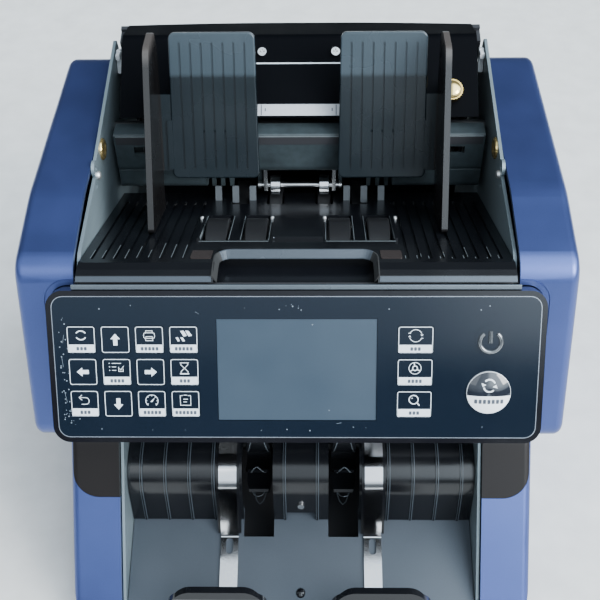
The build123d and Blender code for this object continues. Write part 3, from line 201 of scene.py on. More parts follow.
def surface(name, colour, roughness, metallic=0.0, bump=0.1, scale=400.0, stretch=(1, 1, 1),
            vary=0.08, rough_vary=0.06, coat=0.0, coat_roughness=0.05, specular=0.5, specks=0.0,
            speck_colour=(0.30, 0.34, 0.38)):
    """A shader with noise in its colour, roughness and height. Scale is in waves per metre.
    Specks is the share of small cells that carry a grain of dust."""
    material = bpy.data.materials.new(name)
    material.use_nodes = True
    tree = material.node_tree
    shader = tree.nodes["Principled BSDF"]
    shader.inputs["Metallic"].default_value = metallic
    shader.inputs["Coat Weight"].default_value = coat
    shader.inputs["Coat Roughness"].default_value = coat_roughness
    shader.inputs["Specular IOR Level"].default_value = specular
    place = node_of(tree, "ShaderNodeTexCoord")
    mapping = node_of(tree, "ShaderNodeMapping")
    mapping.inputs["Scale"].default_value = stretch
    tree.links.new(place.outputs["Object"], mapping.inputs["Vector"])
    fine = node_of(tree, "ShaderNodeTexNoise")
    fine.inputs["Scale"].default_value = scale
    fine.inputs["Detail"].default_value = 6.0
    broad = node_of(tree, "ShaderNodeTexNoise")
    broad.inputs["Scale"].default_value = BROAD_SCALE
    broad.inputs["Detail"].default_value = 3.0
    tree.links.new(mapping.outputs["Vector"], fine.inputs["Vector"])
    tree.links.new(place.outputs["Object"], broad.inputs["Vector"])
    mixed = node_of(tree, "ShaderNodeMath", operation="ADD")
    tree.links.new(fine.outputs["Fac"], mixed.inputs[0])
    tree.links.new(broad.outputs["Fac"], mixed.inputs[1])
    shade = node_of(tree, "ShaderNodeMapRange")
    shade.inputs["From Min"].default_value = 0.6
    shade.inputs["From Max"].default_value = 1.4
    shade.inputs["To Min"].default_value = 1.0 - vary
    shade.inputs["To Max"].default_value = 1.0 + vary
    tree.links.new(mixed.outputs["Value"], shade.inputs["Value"])
    tint = node_of(tree, "ShaderNodeVectorMath", operation="SCALE")
    tint.inputs[0].default_value = colour
    tree.links.new(shade.outputs["Result"], tint.inputs["Scale"])
    colour_out = tint.outputs["Vector"]
    if specks:
        colour_out = dusted(tree, place.outputs["Object"], colour_out, specks, speck_colour)
    tree.links.new(colour_out, shader.inputs["Base Color"])
    rough = node_of(tree, "ShaderNodeMapRange")
    rough.inputs["From Min"].default_value = 0.3
    rough.inputs["From Max"].default_value = 0.7
    rough.inputs["To Min"].default_value = max(roughness - rough_vary, 0.02)
    rough.inputs["To Max"].default_value = roughness + rough_vary
    tree.links.new(broad.outputs["Fac"], rough.inputs["Value"])
    tree.links.new(rough.outputs["Result"], shader.inputs["Roughness"])
    relief = node_of(tree, "ShaderNodeBump")
    relief.inputs["Strength"].default_value = bump
    relief.inputs["Distance"].default_value = RELIEF_DEPTH
    tree.links.new(fine.outputs["Fac"], relief.inputs["Height"])
    tree.links.new(relief.outputs["Normal"], shader.inputs["Normal"])
    return material


def dusted(tree, place, colour, share, dust):
    """Grains of dust: one small dot in some of the cells of a random pattern."""
    cells = node_of(tree, "ShaderNodeTexVoronoi", feature="F1")
    cells.inputs["Scale"].default_value = DUST_SCALE
    tree.links.new(place, cells.inputs["Vector"])
    pick = node_of(tree, "ShaderNodeSeparateColor")
    tree.links.new(cells.outputs["Color"], pick.inputs["Color"])
    chosen = node_of(tree, "ShaderNodeMath", operation="LESS_THAN")
    chosen.inputs[1].default_value = share
    tree.links.new(pick.outputs["Red"], chosen.inputs[0])
    size = node_of(tree, "ShaderNodeMapRange")
    size.inputs["To Min"].default_value = 0.03
    size.inputs["To Max"].default_value = 0.10
    tree.links.new(pick.outputs["Green"], size.inputs["Value"])
    near = node_of(tree, "ShaderNodeMath", operation="LESS_THAN")
    tree.links.new(cells.outputs["Distance"], near.inputs[0])
    tree.links.new(size.outputs["Result"], near.inputs[1])
    both = node_of(tree, "ShaderNodeMath", operation="MULTIPLY")
    tree.links.new(chosen.outputs["Value"], both.inputs[0])
    tree.links.new(near.outputs["Value"], both.inputs[1])
    mix = node_of(tree, "ShaderNodeMix", data_type="RGBA")
    tree.links.new(both.outputs["Value"], mix.inputs["Factor"])
    tree.links.new(colour, mix.inputs["A"])
    mix.inputs["B"].default_value = (*dust, 1.0)
    return mix.outputs["Result"]


def dress(material, *names):
    for name in names:
        piece = NODES[name]
        piece.data.materials.clear()
        piece.data.materials.append(material)


def dress_nodes():
    """A finish for each CAD node. The colour comes first, then the roughness."""
    dress(surface("blue_paint", (0.058, 0.085, 0.250), 0.36, metallic=0.80, bump=0.10, scale=2600,
                  vary=0.10, coat=0.25, coat_roughness=0.25), "left_side_cover", "right_side_cover")
    dress(surface("frame_steel", (0.20, 0.25, 0.275), 0.40, metallic=0.45, bump=0.15, scale=300,
                  stretch=(1, 0.08, 1)), "left_side_frame", "right_side_frame")
    dress(surface("pan_paint", (0.03, 0.03, 0.033), 0.5, bump=0.3, scale=1500), "base_pan", "power_supply")
    dress(surface("foot_rubber", (0.02, 0.02, 0.02), 0.8, bump=0.3, scale=900), "rubber_feet")
    dress(surface("cheek_plastic", (0.0060, 0.0042, 0.0042), 0.42, bump=0.15, scale=1800, specular=0.22),
          "front_cheeks")
    dress(surface("housing_plastic", (0.004, 0.004, 0.006), 0.16, bump=0.05, scale=1500), "panel_housing")
    dress(surface("black_plastic", (0.0020, 0.0023, 0.0032), 0.50, bump=0.2, scale=1600, specular=0.02),
          "back_wall", "rear_sensor_bar")
    dress(surface("rear_plastic", (0.026, 0.027, 0.031), 0.42, bump=0.3, scale=1500), "rear_cover")
    dress(surface("tray_plastic", (0.004, 0.0045, 0.006), 0.22, bump=0.10, scale=1400, specks=0.02),
          "hopper_tray")
    dress(surface("panel_gloss", (0.0040, 0.0080, 0.0150), 0.10, bump=0.02, scale=700, rough_vary=0.04,
                  specks=0.015), "panel_overlay", "power_key", *KEY_NAMES)
    dress(surface("screen_glass", (0.026, 0.042, 0.062), 0.36, bump=0.02, scale=2000, vary=0.10,
                  specks=0.02), "lcd_module")
    dress(surface("board_green", (0.02, 0.12, 0.05), 0.4, bump=0.2, scale=800),
          "keypad_board", "control_board")
    dress(surface("silver_trim", (0.11, 0.13, 0.15), 0.26, metallic=0.6, bump=0.05, scale=900), "trim_strip")
    dress(surface("window_tint", (0.030, 0.022, 0.020), 0.12, bump=0.02, scale=900), "tray_sensor_windows")
    dress(surface("grey_plastic", (0.024, 0.035, 0.040), 0.60, bump=0.3, scale=260, vary=0.40), "feed_cover")
    dress(surface("gloss_black", (0.0045, 0.005, 0.0065), 0.20, bump=0.05, scale=1200),
          "deflector", "note_stops", "power_inlet")
    dress(surface("wheel_black", (0.0045, 0.005, 0.0065), 0.42, bump=0.10, scale=1200, specular=0.2),
          "stacker_wheels")
    dress(surface("plate_satin", (0.052, 0.064, 0.080), 0.40, metallic=0.35, bump=0.15, scale=1300,
                  specks=0.008, speck_colour=(0.5, 0.5, 0.5)), "stacker_plate")
    dress(surface("strip_steel", (0.80, 0.80, 0.82), 0.10, metallic=1.0, bump=0.05, scale=500),
          "guide_strips")
    dress(surface("rod_black", (0.015, 0.015, 0.017), 0.4, bump=0.05, scale=500),
          "guide_rod", "stacker_shaft")
    dress(surface("motor_steel", (0.30, 0.30, 0.31), 0.4, metallic=0.9, bump=0.1, scale=500), "drive_motor")
    dress(surface("shaft_steel", (0.60, 0.60, 0.61), 0.25, metallic=1.0, bump=0.1, scale=600,
                  stretch=(0.05, 1, 1)),
          "motor_pulley", "shaft_bearings", "separator_shaft", "pickup_shaft", "feed_shaft")
    dress(surface("chrome", (0.78, 0.78, 0.80), 0.10, metallic=1.0, bump=0.02, scale=500),
          "separator_rollers")
    dress(surface("belt_rubber", (0.02, 0.02, 0.02), 0.7, bump=0.3, scale=900), "drive_belts")
    dress(surface("roller_rubber", (0.007, 0.007, 0.008), 0.40, bump=0.3, scale=1100),
          "pickup_rollers", "feed_rollers")
    dress(guide_material(), "left_note_guide", "right_note_guide")
    dress(surface("brass", (0.66, 0.46, 0.16), 0.2, metallic=1.0, bump=0.1, scale=700), "adjusting_knob")
    dress(surface("screw_steel", (0.70, 0.70, 0.70), 0.22, metallic=1.0, bump=0.05, scale=900),
          "frame_screws")
    dress(surface("switch_black", (0.02, 0.02, 0.02), 0.25, bump=0.05, scale=900), "rocker_switch")
    dress(restart_material(), "restart_key")


# Where the guides' colour changes, in millimetres: two heights, and the distance from the middle. The two
# heights are painted light: a light-and-shade line on the paddles, a painted highlight on the fence tops
PADDLE_SHADE_LINE = (273.5, 276.5)
FENCE_HIGHLIGHT_LINE = (291.0, 299.0)
FENCE_START = (70.6, 70.9)


def guide_material():
    """Blue-grey plastic with painted light: lighter on the upper part of the paddles with painted shade
    below, and brown-black fences with a painted highlight along their tops.
    """
    material = surface("guide_plastic", (1.0, 1.0, 1.0), 0.27, bump=0.10, scale=1500)
    tree = material.node_tree
    shader = tree.nodes["Principled BSDF"]
    shade = shader.inputs["Base Color"].links[0].from_socket
    place = node_of(tree, "ShaderNodeTexCoord")
    split = node_of(tree, "ShaderNodeSeparateXYZ")
    tree.links.new(place.outputs["Object"], split.inputs["Vector"])
    out = node_of(tree, "ShaderNodeMath", operation="ABSOLUTE")
    tree.links.new(split.outputs["X"], out.inputs[0])

    def step(socket, start, end):
        ramp = node_of(tree, "ShaderNodeMapRange", interpolation_type="SMOOTHSTEP")
        ramp.inputs["From Min"].default_value = start * MM
        ramp.inputs["From Max"].default_value = end * MM
        tree.links.new(socket, ramp.inputs["Value"])
        return ramp.outputs["Result"]

    def mixed(first, second, factor):
        mix = node_of(tree, "ShaderNodeMix", data_type="RGBA")
        for key, value in (("A", first), ("B", second)):
            if isinstance(value, tuple):
                mix.inputs[key].default_value = value
            else:
                tree.links.new(value, mix.inputs[key])
        tree.links.new(factor, mix.inputs["Factor"])
        return mix.outputs["Result"]

    height = split.outputs["Z"]
    # Painted light on the paddles: painted shade below the line, lighter above it
    paddle = mixed((0.0045, 0.0085, 0.0115, 1.0), (0.030, 0.044, 0.055, 1.0), step(height, *PADDLE_SHADE_LINE))
    # Painted highlight along the tops of the fences
    fence = mixed((0.0050, 0.0044, 0.0046, 1.0), (0.060, 0.052, 0.048, 1.0), step(height, *FENCE_HIGHLIGHT_LINE))
    colour = mixed(paddle, fence, step(out.outputs["Value"], *FENCE_START))
    product = node_of(tree, "ShaderNodeVectorMath", operation="MULTIPLY")
    tree.links.new(colour, product.inputs[0])
    tree.links.new(shade, product.inputs[1])
    tree.links.new(product.outputs["Vector"], shader.inputs["Base Color"])
    return material


# On the restart dome, in millimetres: where the white ring starts, and the top of the white label
RESTART_RING = 10.05
RESTART_LABEL_TOP = -1.2


def restart_material():
    """Dark gloss above, white label below, and a thin white ring round the dome."""
    material = surface("restart_dome", (1.0, 1.0, 1.0), 0.07, bump=0.01, scale=500, rough_vary=0.02, coat=0.5)
    tree = material.node_tree
    shader = tree.nodes["Principled BSDF"]
    middle = centre("restart_key")
    place = node_of(tree, "ShaderNodeTexCoord")
    shifted = node_of(tree, "ShaderNodeVectorMath", operation="SUBTRACT")
    shifted.inputs[1].default_value = middle
    tree.links.new(place.outputs["Object"], shifted.inputs[0])
    parts = []
    for way in (PANEL_RIGHT, PANEL_UP):
        dot = node_of(tree, "ShaderNodeVectorMath", operation="DOT_PRODUCT")
        dot.inputs[1].default_value = way
        tree.links.new(shifted.outputs["Vector"], dot.inputs[0])
        parts.append(dot)
    flat = node_of(tree, "ShaderNodeCombineXYZ")
    tree.links.new(parts[0].outputs["Value"], flat.inputs["X"])
    tree.links.new(parts[1].outputs["Value"], flat.inputs["Y"])
    radius = node_of(tree, "ShaderNodeVectorMath", operation="LENGTH")
    tree.links.new(flat.outputs["Vector"], radius.inputs[0])
    ring = node_of(tree, "ShaderNodeMath", operation="GREATER_THAN")
    ring.inputs[1].default_value = RESTART_RING * MM
    tree.links.new(radius.outputs["Value"], ring.inputs[0])
    label = node_of(tree, "ShaderNodeMath", operation="LESS_THAN")
    label.inputs[1].default_value = RESTART_LABEL_TOP * MM
    tree.links.new(parts[1].outputs["Value"], label.inputs[0])
    white = node_of(tree, "ShaderNodeMath", operation="MAXIMUM")
    tree.links.new(ring.outputs["Value"], white.inputs[0])
    tree.links.new(label.outputs["Value"], white.inputs[1])
    mix = node_of(tree, "ShaderNodeMix", data_type="RGBA")
    mix.inputs["A"].default_value = (0.012, 0.015, 0.022, 1.0)
    mix.inputs["B"].default_value = (0.80, 0.83, 0.86, 1.0)
    tree.links.new(white.outputs["Value"], mix.inputs["Factor"])
    tree.links.new(mix.outputs["Result"], shader.inputs["Base Color"])
    return material


# ---------------------------------------------------------------- outlines and meshes

def arc(x, y, radius, start, end, steps):
    """Points along an arc, angles in degrees."""
    points = []
    for i in range(steps + 1):
        angle = math.radians(start + (end - start) * i / steps)
        points.append((x + radius * math.cos(angle), y + radius * math.sin(angle)))
    return points


def rounded(x, y, width, height, radius, steps=5):
    """Points round a rectangle with rounded corners."""
    points = []
    for sx, sy, start in ((1, 1, 0), (-1, 1, 90), (-1, -1, 180), (1, -1, 270)):
        cx = x + sx * (width / 2 - radius)
        cy = y + sy * (height / 2 - radius)
        points += arc(cx, cy, radius, start, start + 90, steps)
    return points


def side_path(points, radius):
    """A polyline in (Y, Z) whose middle corner is rounded."""
    first, middle, last = (Vector(p) for p in points)
    one = (first - middle).normalized()
    two = (last - middle).normalized()
    half = math.acos(max(-1.0, min(1.0, one.dot(two)))) / 2
    reach = radius / math.tan(half)
    hub = middle + (one + two).normalized() * radius / math.sin(half)
    start = middle + one * reach - hub
    end = middle + two * reach - hub
    turn = math.atan2(start.x * end.y - start.y * end.x, start.dot(end))
    path = [first]
    steps = 8
    for k in range(steps + 1):
        angle = turn * k / steps
        path.append(hub + Vector((start.x * math.cos(angle) - start.y * math.sin(angle),
                                  start.x * math.sin(angle) + start.y * math.cos(angle))))
    return path + [last]


def prism(bm, low, high):
    """The faces between two matching outlines, and both ends."""
    bm.faces.new(high)
    bm.faces.new(list(reversed(low)))
    for i in range(len(low)):
        j = (i + 1) % len(low)
        bm.faces.new((low[i], low[j], high[j], high[i]))


def bridge(bm, rows, closed=False):
    """The faces between rings of vertices, with both ends filled unless the last meets the first."""
    count = len(rows)
    for i in range(count if closed else count - 1):
        one, two = rows[i], rows[(i + 1) % count]
        for k in range(len(one)):
            j = (k + 1) % len(one)
            bm.faces.new((one[k], one[j], two[j], two[k]))
    if not closed:
        bm.faces.new(list(reversed(rows[0])))
        bm.faces.new(rows[-1])


def finish_mesh(bm, name, body, material, smooth=False):
    """Turn the mesh into a piece that rides on a body."""
    bmesh.ops.recalc_face_normals(bm, faces=bm.faces)
    mesh = bpy.data.meshes.new(name)
    bm.to_mesh(mesh)
    bm.free()
    if smooth:
        for polygon in mesh.polygons:
            polygon.use_smooth = True
    piece = link(name, mesh)
    mesh.materials.append(material)
    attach(piece, body)
    return piece


def slab(bm, middle, axes, size, corner=0.0):
    """A block with softened upright edges: sizes in millimetres along three axes."""
    right, up, out = axes
    width, height, depth = size
    points = rounded(0, 0, width, height, max(corner, 0.05), 3)
    low = [bm.verts.new(middle + (right * x + up * y - out * depth / 2) * MM) for x, y in points]
    high = [bm.verts.new(middle + (right * x + up * y + out * depth / 2) * MM) for x, y in points]
    prism(bm, low, high)


def ribbon(bm, path, x, width, lift):
    """A thin strip across X that follows a path in (Y, Z), proud on the path's left side."""
    depth = 0.3
    rows = []
    for i, here in enumerate(path):
        before = path[max(i - 1, 0)]
        after = path[min(i + 1, len(path) - 1)]
        along = (after - before).normalized()
        out = Vector((-along.y, along.x))
        row = []
        for offset, rise in ((-width / 2, lift - depth), (-width / 2, lift), (width / 2, lift),
                             (width / 2, lift - depth)):
            spot = here + out * rise
            row.append(bm.verts.new(Vector((x + offset, spot.x, spot.y)) * MM))
        rows.append(row)
    bridge(bm, rows)


def lathe(name, profile, base, axis, body, material, steps=28):
    """A turned piece from (radius, height) points in millimetres along an axis."""
    axis = Vector(axis).normalized()
    side = axis.orthogonal().normalized()
    other = axis.cross(side)
    bm = bmesh.new()
    rings = []
    for radius, height in profile:
        if radius < 1e-6:
            rings.append([bm.verts.new(base + axis * height * MM)])
            continue
        ring = []
        for i in range(steps):
            angle = 2 * math.pi * i / steps
            way = side * math.cos(angle) + other * math.sin(angle)
            ring.append(bm.verts.new(base + (way * radius + axis * height) * MM))
        rings.append(ring)
    for one, two in zip(rings, rings[1:]):
        for i in range(steps):
            j = (i + 1) % steps
            if len(one) == 1:
                bm.faces.new((one[0], two[j], two[i]))
            elif len(two) == 1:
                bm.faces.new((one[i], one[j], two[0]))
            else:
                bm.faces.new((one[i], one[j], two[j], two[i]))
    return finish_mesh(bm, name, body, material, smooth=True)


def tube_along(name, points, radius):
    """A round bar along points, with closed ends, as a mesh."""
    curve = bpy.data.curves.new(name, "CURVE")
    curve.dimensions = "3D"
    spline = curve.splines.new("POLY")
    spline.points.add(len(points) - 1)
    for spot, point in zip(spline.points, points):
        spot.co = (*point, 1.0)
    curve.bevel_depth = radius
    curve.bevel_resolution = 3
    curve.use_fill_caps = True
    holder = link(name, curve)
    mesh = bpy.data.meshes.new_from_object(holder)
    bpy.data.objects.remove(holder)
    for polygon in mesh.polygons:
        polygon.use_smooth = True
    return link(name, mesh)


# ---------------------------------------------------------------- printed marks

class Ink:
    """Thin shapes on a plane, drawn in millimetres about a centre, or draped onto a surface."""

    def __init__(self, name, middle, body, top, bottom=-0.02, axes=PANEL_AXES, onto=None, reach=20.0):
        self.name = name
        self.middle = middle
        self.body = body
        self.top = top
        self.bottom = bottom
        self.axes = axes
        self.onto = onto
        self.reach = reach
        self.bm = bmesh.new()

    def point(self, x, y, z):
        right, up, out = self.axes
        base = self.middle + (right * x + up * y) * MM
        if self.onto:
            hit = self.onto.ray_cast(base + out * self.reach * MM, -out)[0]
            base = hit if hit else base
        return base + out * z * MM

    def area(self, points):
        """A filled shape without holes."""
        low = [self.bm.verts.new(self.point(x, y, self.bottom)) for x, y in points]
        high = [self.bm.verts.new(self.point(x, y, self.top)) for x, y in points]
        prism(self.bm, low, high)

    def line(self, points, width, closed=False):
        """A stroke of one width along a polyline."""
        count = len(points)
        rows = []
        for i, here in enumerate(points):
            before = points[i - 1] if (i or closed) else here
            after = points[(i + 1) % count] if (i + 1 < count or closed) else here
            one = Vector((here[0] - before[0], here[1] - before[1]))
            two = Vector((after[0] - here[0], after[1] - here[1]))
            one = one.normalized() if one.length > 1e-9 else two.normalized()
            two = two.normalized() if two.length > 1e-9 else one
            along = (one + two).normalized()
            side = Vector((-along.y, along.x))
            reach = width / 2 / max(side.dot(Vector((-one.y, one.x))), 0.35)
            row = []
            for sign, z in ((1, self.bottom), (1, self.top), (-1, self.top), (-1, self.bottom)):
                spot = Vector(here) + side * reach * sign
                row.append(self.bm.verts.new(self.point(spot.x, spot.y, z)))
            rows.append(row)
        bridge(self.bm, rows, closed)

    def block(self, left, low, right, high):
        self.area([(left, low), (right, low), (right, high), (left, high)])

    def dot(self, x, y, radius):
        self.area(arc(x, y, radius, 0, 360, 16)[:-1])

    def done(self, material):
        finish_mesh(self.bm, self.name, self.body, material)


OVERLAY_SHEET = 1.6
KEY_SHEET = 1.9
LABEL_BAND = 3.9
THIN = 0.27
BOLD = 0.52


def arrow_points(turn):
    """A block arrow that points up, turned by quarter turns."""
    shape = [(0, 2.9), (2.2, 0.3), (0.95, 0.3), (0.95, -2.7), (-0.95, -2.7), (-0.95, 0.3), (-2.2, 0.3)]
    for _ in range(turn):
        shape = [(-y, x) for x, y in shape]
    return shape


def arrow_head(ink, x, y, angle, size):
    """A small filled triangle that points along the angle."""
    way = Vector((math.cos(math.radians(angle)), math.sin(math.radians(angle))))
    side = Vector((-way.y, way.x))
    at = Vector((x, y))
    ink.area([tuple(at + way * size), tuple(at - side * size * 0.8), tuple(at + side * size * 0.8)])


def icon_arrow(turn):
    def draw(ink):
        ink.area(arrow_points(turn))
    return draw


def icon_swap(ink):
    ink.line(arc(0, 1.6, 2.6, 35, 145, 14), BOLD)
    ink.line(arc(0, 2.6, 2.6, 215, 325, 14), BOLD)


def icon_printer(ink):
    ink.line([(-1.5, 3.1), (-1.5, 4.3), (1.5, 4.3), (1.5, 3.1)], THIN)
    ink.line(rounded(0, 2.0, 5.0, 2.7, 0.8, 4), THIN, closed=True)
    ink.line([(-1.4, 1.5), (-1.7, -0.4), (1.7, -0.4), (1.4, 1.5)], THIN, closed=True)


def icon_stack(ink):
    ink.area([(-1.4, 4.2), (0.2, 4.4), (1.6, 2.0), (0.2, 1.5)])
    ink.area([(0.9, 4.4), (2.5, 4.2), (4.0, 2.0), (2.4, 1.6)])
    ink.area([(-3.6, 1.1), (-2.5, 1.2), (-1.7, -0.6), (-2.6, -0.8)])
    ink.area([(-1.4, 1.1), (-0.3, 1.2), (0.7, -0.6), (-0.4, -0.8)])


def icon_list(ink):
    for y, long in ((4.2, 4.3), (2.5, 2.0), (0.8, 1.9)):
        ink.dot(-3.3, y, 0.24)
        ink.line([(-2.2, y), (-2.2 + long, y)], THIN)
    ink.line([(0.9, 2.5), (0.9, 0.3), (3.0, 0.3), (3.0, 1.6)], THIN)
    ink.line([(1.3, 1.7), (1.9, 1.0), (3.3, 2.9)], THIN)


def icon_hourglass(ink):
    ink.line([(-2.1, 4.5), (2.1, 4.5)], THIN)
    ink.line([(-1.6, 4.4), (-1.6, 3.5), (0, 1.9), (-1.6, 0.3), (-1.6, -0.6)], THIN)
    ink.line([(1.6, 4.4), (1.6, 3.5), (0, 1.9), (1.6, 0.3), (1.6, -0.6)], THIN)
    ink.line([(-2.1, -0.8), (2.1, -0.8)], BOLD)


def icon_return(ink):
    ink.line([(-2.4, 3.0), (0.4, 3.0)] + arc(0.4, 1.35, 1.65, 80, -90, 12) + [(-1.6, -0.3)], THIN)
    ink.line([(-1.2, 4.3), (-2.6, 3.0), (-1.2, 1.7)], THIN)


def icon_gauge(ink):
    ink.line(arc(0, 1.5, 2.9, -52, 232, 26), THIN)
    for angle in (-40, 0, 45, 90, 135, 180, 220):
        way = (math.cos(math.radians(angle)), math.sin(math.radians(angle)))
        ink.line([(way[0] * 2.2, 1.5 + way[1] * 2.2), (way[0] * 2.8, 1.5 + way[1] * 2.8)], 0.3)
    ink.area([(-0.7, 1.0), (0.2, 0.9), (1.5, 3.2)])


def icon_clipboard(ink):
    ink.line([(-1.2, 4.1), (-2.4, 4.1), (-2.4, -0.7), (2.4, -0.7), (2.4, 4.1), (1.2, 4.1)], THIN)
    ink.line([(-0.8, 4.3), (0.8, 4.3)], THIN)
    ink.line([(-1.0, 2.3), (1.1, 2.3)], 0.28)
    ink.line([(-1.0, 1.0), (0.6, 1.0)], 0.28)


def icon_exchange(ink):
    ink.line(arc(0, 2.0, 2.9, 20, 160, 16), THIN)
    ink.line(arc(0, 2.0, 2.9, 200, 340, 16), THIN)
    arrow_head(ink, 2.8, 2.6, -90, 0.8)
    arrow_head(ink, -2.8, 1.4, 90, 0.8)
    ink.line([(-3.4, 3.2), (-2.3, 3.2)], 0.3)
    ink.line([(3.4, 0.8), (2.3, 0.8)], 0.3)


def icon_wheel(ink):
    ink.line(arc(0, 2.0, 2.8, 0, 360, 28)[:-1], THIN, closed=True)
    ink.line(arc(0, 2.0, 1.1, 0, 360, 16)[:-1], 0.42, closed=True)
    for angle in (100, 215, 330):
        way = (math.cos(math.radians(angle)), math.sin(math.radians(angle)))
        ink.line([(way[0] * 1.2, 2.0 + way[1] * 1.2), (way[0] * 2.7, 2.0 + way[1] * 2.7)], 0.4)


def icon_lens(ink):
    ink.line(arc(-0.3, 2.3, 2.1, 0, 360, 24)[:-1], 0.42, closed=True)
    ink.line([(1.1, 0.8), (2.5, -0.6)], 0.5)
    ink.dot(-1.0, 3.0, 0.25)


KEYS = {
    "key_auto_mode": (icon_swap, 3), "key_up": (icon_arrow(0), 0), "key_print": (icon_printer, 5),
    "key_batch": (icon_stack, 5), "key_left": (icon_arrow(1), 0), "key_menu": (icon_list, 4),
    "key_right": (icon_arrow(3), 0), "key_add": (icon_hourglass, 3), "key_escape": (icon_return, 3),
    "key_down": (icon_arrow(2), 0), "key_speed": (icon_gauge, 5), "key_detail": (icon_clipboard, 6),
    "key_currency": (icon_exchange, 3), "key_mode": (icon_wheel, 4), "key_search": (icon_lens, 3),
}
KEY_NAMES = tuple(KEYS)


def make_key_marks():
    """On each key a thin frame, an icon and, where it has one, a white label band with dark dashes."""
    white = surface("print_white", (0.68, 0.72, 0.76), 0.35, bump=0.02, scale=900)
    dark = surface("print_dark", (0.05, 0.06, 0.08), 0.4, bump=0.02, scale=900)
    for name, (draw, dashes) in KEYS.items():
        low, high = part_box(name)
        width = (high.x - low.x) / MM
        height = ((high.y - low.y) / MM - KEY_SHEET * abs(PANEL_OUT.y)) / abs(PANEL_UP.y)
        middle = centre(name) + PANEL_OUT * (KEY_SHEET / 2 * MM)
        body = name + "_body"
        ink = Ink("ink_" + name, middle, body, 0.05)
        ink.line(rounded(0, 0, width - 0.5, height - 0.5, 0.9), 0.30, closed=True)
        draw(ink)
        if dashes:
            ink.area(rounded(0, -height / 2 + LABEL_BAND / 2 + 0.1, width - 0.25, LABEL_BAND, 0.7))
        ink.done(white)
        if dashes:
            marks = Ink("label_" + name, middle, body, 0.08)
            pitch = 1.72
            for i in range(dashes):
                x = (i - (dashes - 1) / 2) * pitch
                marks.area(rounded(x, -height / 2 + 2.05, 1.25, 1.7, 0.35, 2))
            marks.done(dark)


def make_power_symbol():
    """Raised ring and bar moulded into the power key."""
    gloss = surface("emboss_gloss", (0.16, 0.17, 0.18), 0.14, metallic=0.75, bump=0.06, scale=600, coat=0.6)
    middle = centre("power_key") + PANEL_OUT * (KEY_SHEET / 2 * MM)
    ring = [middle + (PANEL_RIGHT * x + PANEL_UP * y) * MM for x, y in arc(0, -0.9, 4.9, 128, 412, 40)]
    bar = [middle + PANEL_UP * y * MM for y in (-1.4, 0.5, 2.4, 4.3)]
    for name, points in (("power_ring", ring), ("power_bar", bar)):
        piece = tube_along(name, points, 0.95 * MM)
        piece.data.materials.append(gloss)
        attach(piece, "power_button")


def make_power_seam():
    """A thin gloss ring over the seam round the power key, flush with the overlay."""
    low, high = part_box("power_key")
    radius = (high.x - low.x) / MM / 2
    front = centre("power_key") + PANEL_OUT * (OVERLAY_SHEET / 2 * MM)
    film = bpy.data.materials["panel_gloss"]
    ink = Ink("power_seam", front, "chassis", 0.06, -0.02)
    ink.line(arc(0, 0, radius + 0.36, 0, 360, 48)[:-1], 0.70, closed=True)
    ink.done(film)


def make_restart_mark():
    """Two curved arrows on the dark half of the restart dome, and dashes on its white half."""
    white = bpy.data.materials["print_white"]
    dark = bpy.data.materials["print_dark"]
    middle = centre("restart_key")
    dome = skin("restart_key")
    ink = Ink("restart_arrows", middle, "restart_button", 0.10, -0.15, onto=dome)
    ink.line(arc(0, 3.6, 2.6, 190, 318, 14), 0.75)
    arrow_head(ink, 2.6, 3.0, 75, 1.5)
    ink.line(arc(0, 4.2, 2.6, 20, 138, 14), 0.75)
    arrow_head(ink, -2.6, 4.8, 250, 1.5)
    ink.done(white)
    marks = Ink("restart_label", middle, "restart_button", 0.10, -0.15, onto=dome)
    for i in range(7):
        x = (i - 3) * 2.0
        marks.area(rounded(x, -3.9, 1.4, 2.1, 0.35, 2))
    marks.done(dark)


# ---------------------------------------------------------------- small parts of the panel

def make_bevel_line():
    """A painted highlight: a light line round the edge of the glossy overlay in its housing."""
    bright = surface("painted_bevel_glint", (0.30, 0.33, 0.38), 0.25, metallic=0.6, bump=0.05, scale=700)
    low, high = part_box("panel_overlay")
    front = centre("panel_overlay") + PANEL_OUT * (OVERLAY_SHEET / 2 * MM)
    width = (high.x - low.x) / MM
    height = ((high.y - low.y) / MM - OVERLAY_SHEET * abs(PANEL_OUT.y)) / abs(PANEL_UP.y)
    ink = Ink("overlay_edge", front, "chassis", 0.10, -0.4)
    ink.line(rounded(0, 0, width + 0.2, height + 0.2, 5.3, 8), 0.34, closed=True)
    ink.done(bright)


# ---------------------------------------------------------------- wall behind the notes

def make_wall_marks():
    """A painted highlight as a thin white line across the wall, and a plain label strip with end marks on the
    wall.
    """
    white = bpy.data.materials["print_white"]
    dark = bpy.data.materials["print_dark"]
    wall = skin("back_wall")
    # Painted highlight: a thin white line standing for a glint along the wall
    line = Ink("wall_glint_line", WALL_FOOT, "chassis", 0.10, -0.05, axes=WALL_AXES, onto=wall)
    line.block(-22.5, 29.6, 22.5, 30.3)
    line.done(white)
    strip = surface("label_paper", (0.42, 0.43, 0.46), 0.45, bump=0.05, scale=900)
    label = Ink("wall_label", WALL_FOOT, "chassis", 0.20, -0.05, axes=WALL_AXES, onto=wall)
    label.block(-21.6, 0.9, 21.6, 7.2)
    label.done(strip)
    marks = Ink("wall_label_marks", WALL_FOOT, "chassis", 0.26, 0.15, axes=WALL_AXES, onto=wall)
    for side in (-1, 1):
        marks.block(side * 19.7 - 0.25, 1.2, side * 19.7 + 0.25, 6.9)
        marks.block(side * 17.6 - 0.3, 3.4, side * 17.6 + 0.3, 5.0)
    marks.done(dark)


KNOB_FACE = 7.0


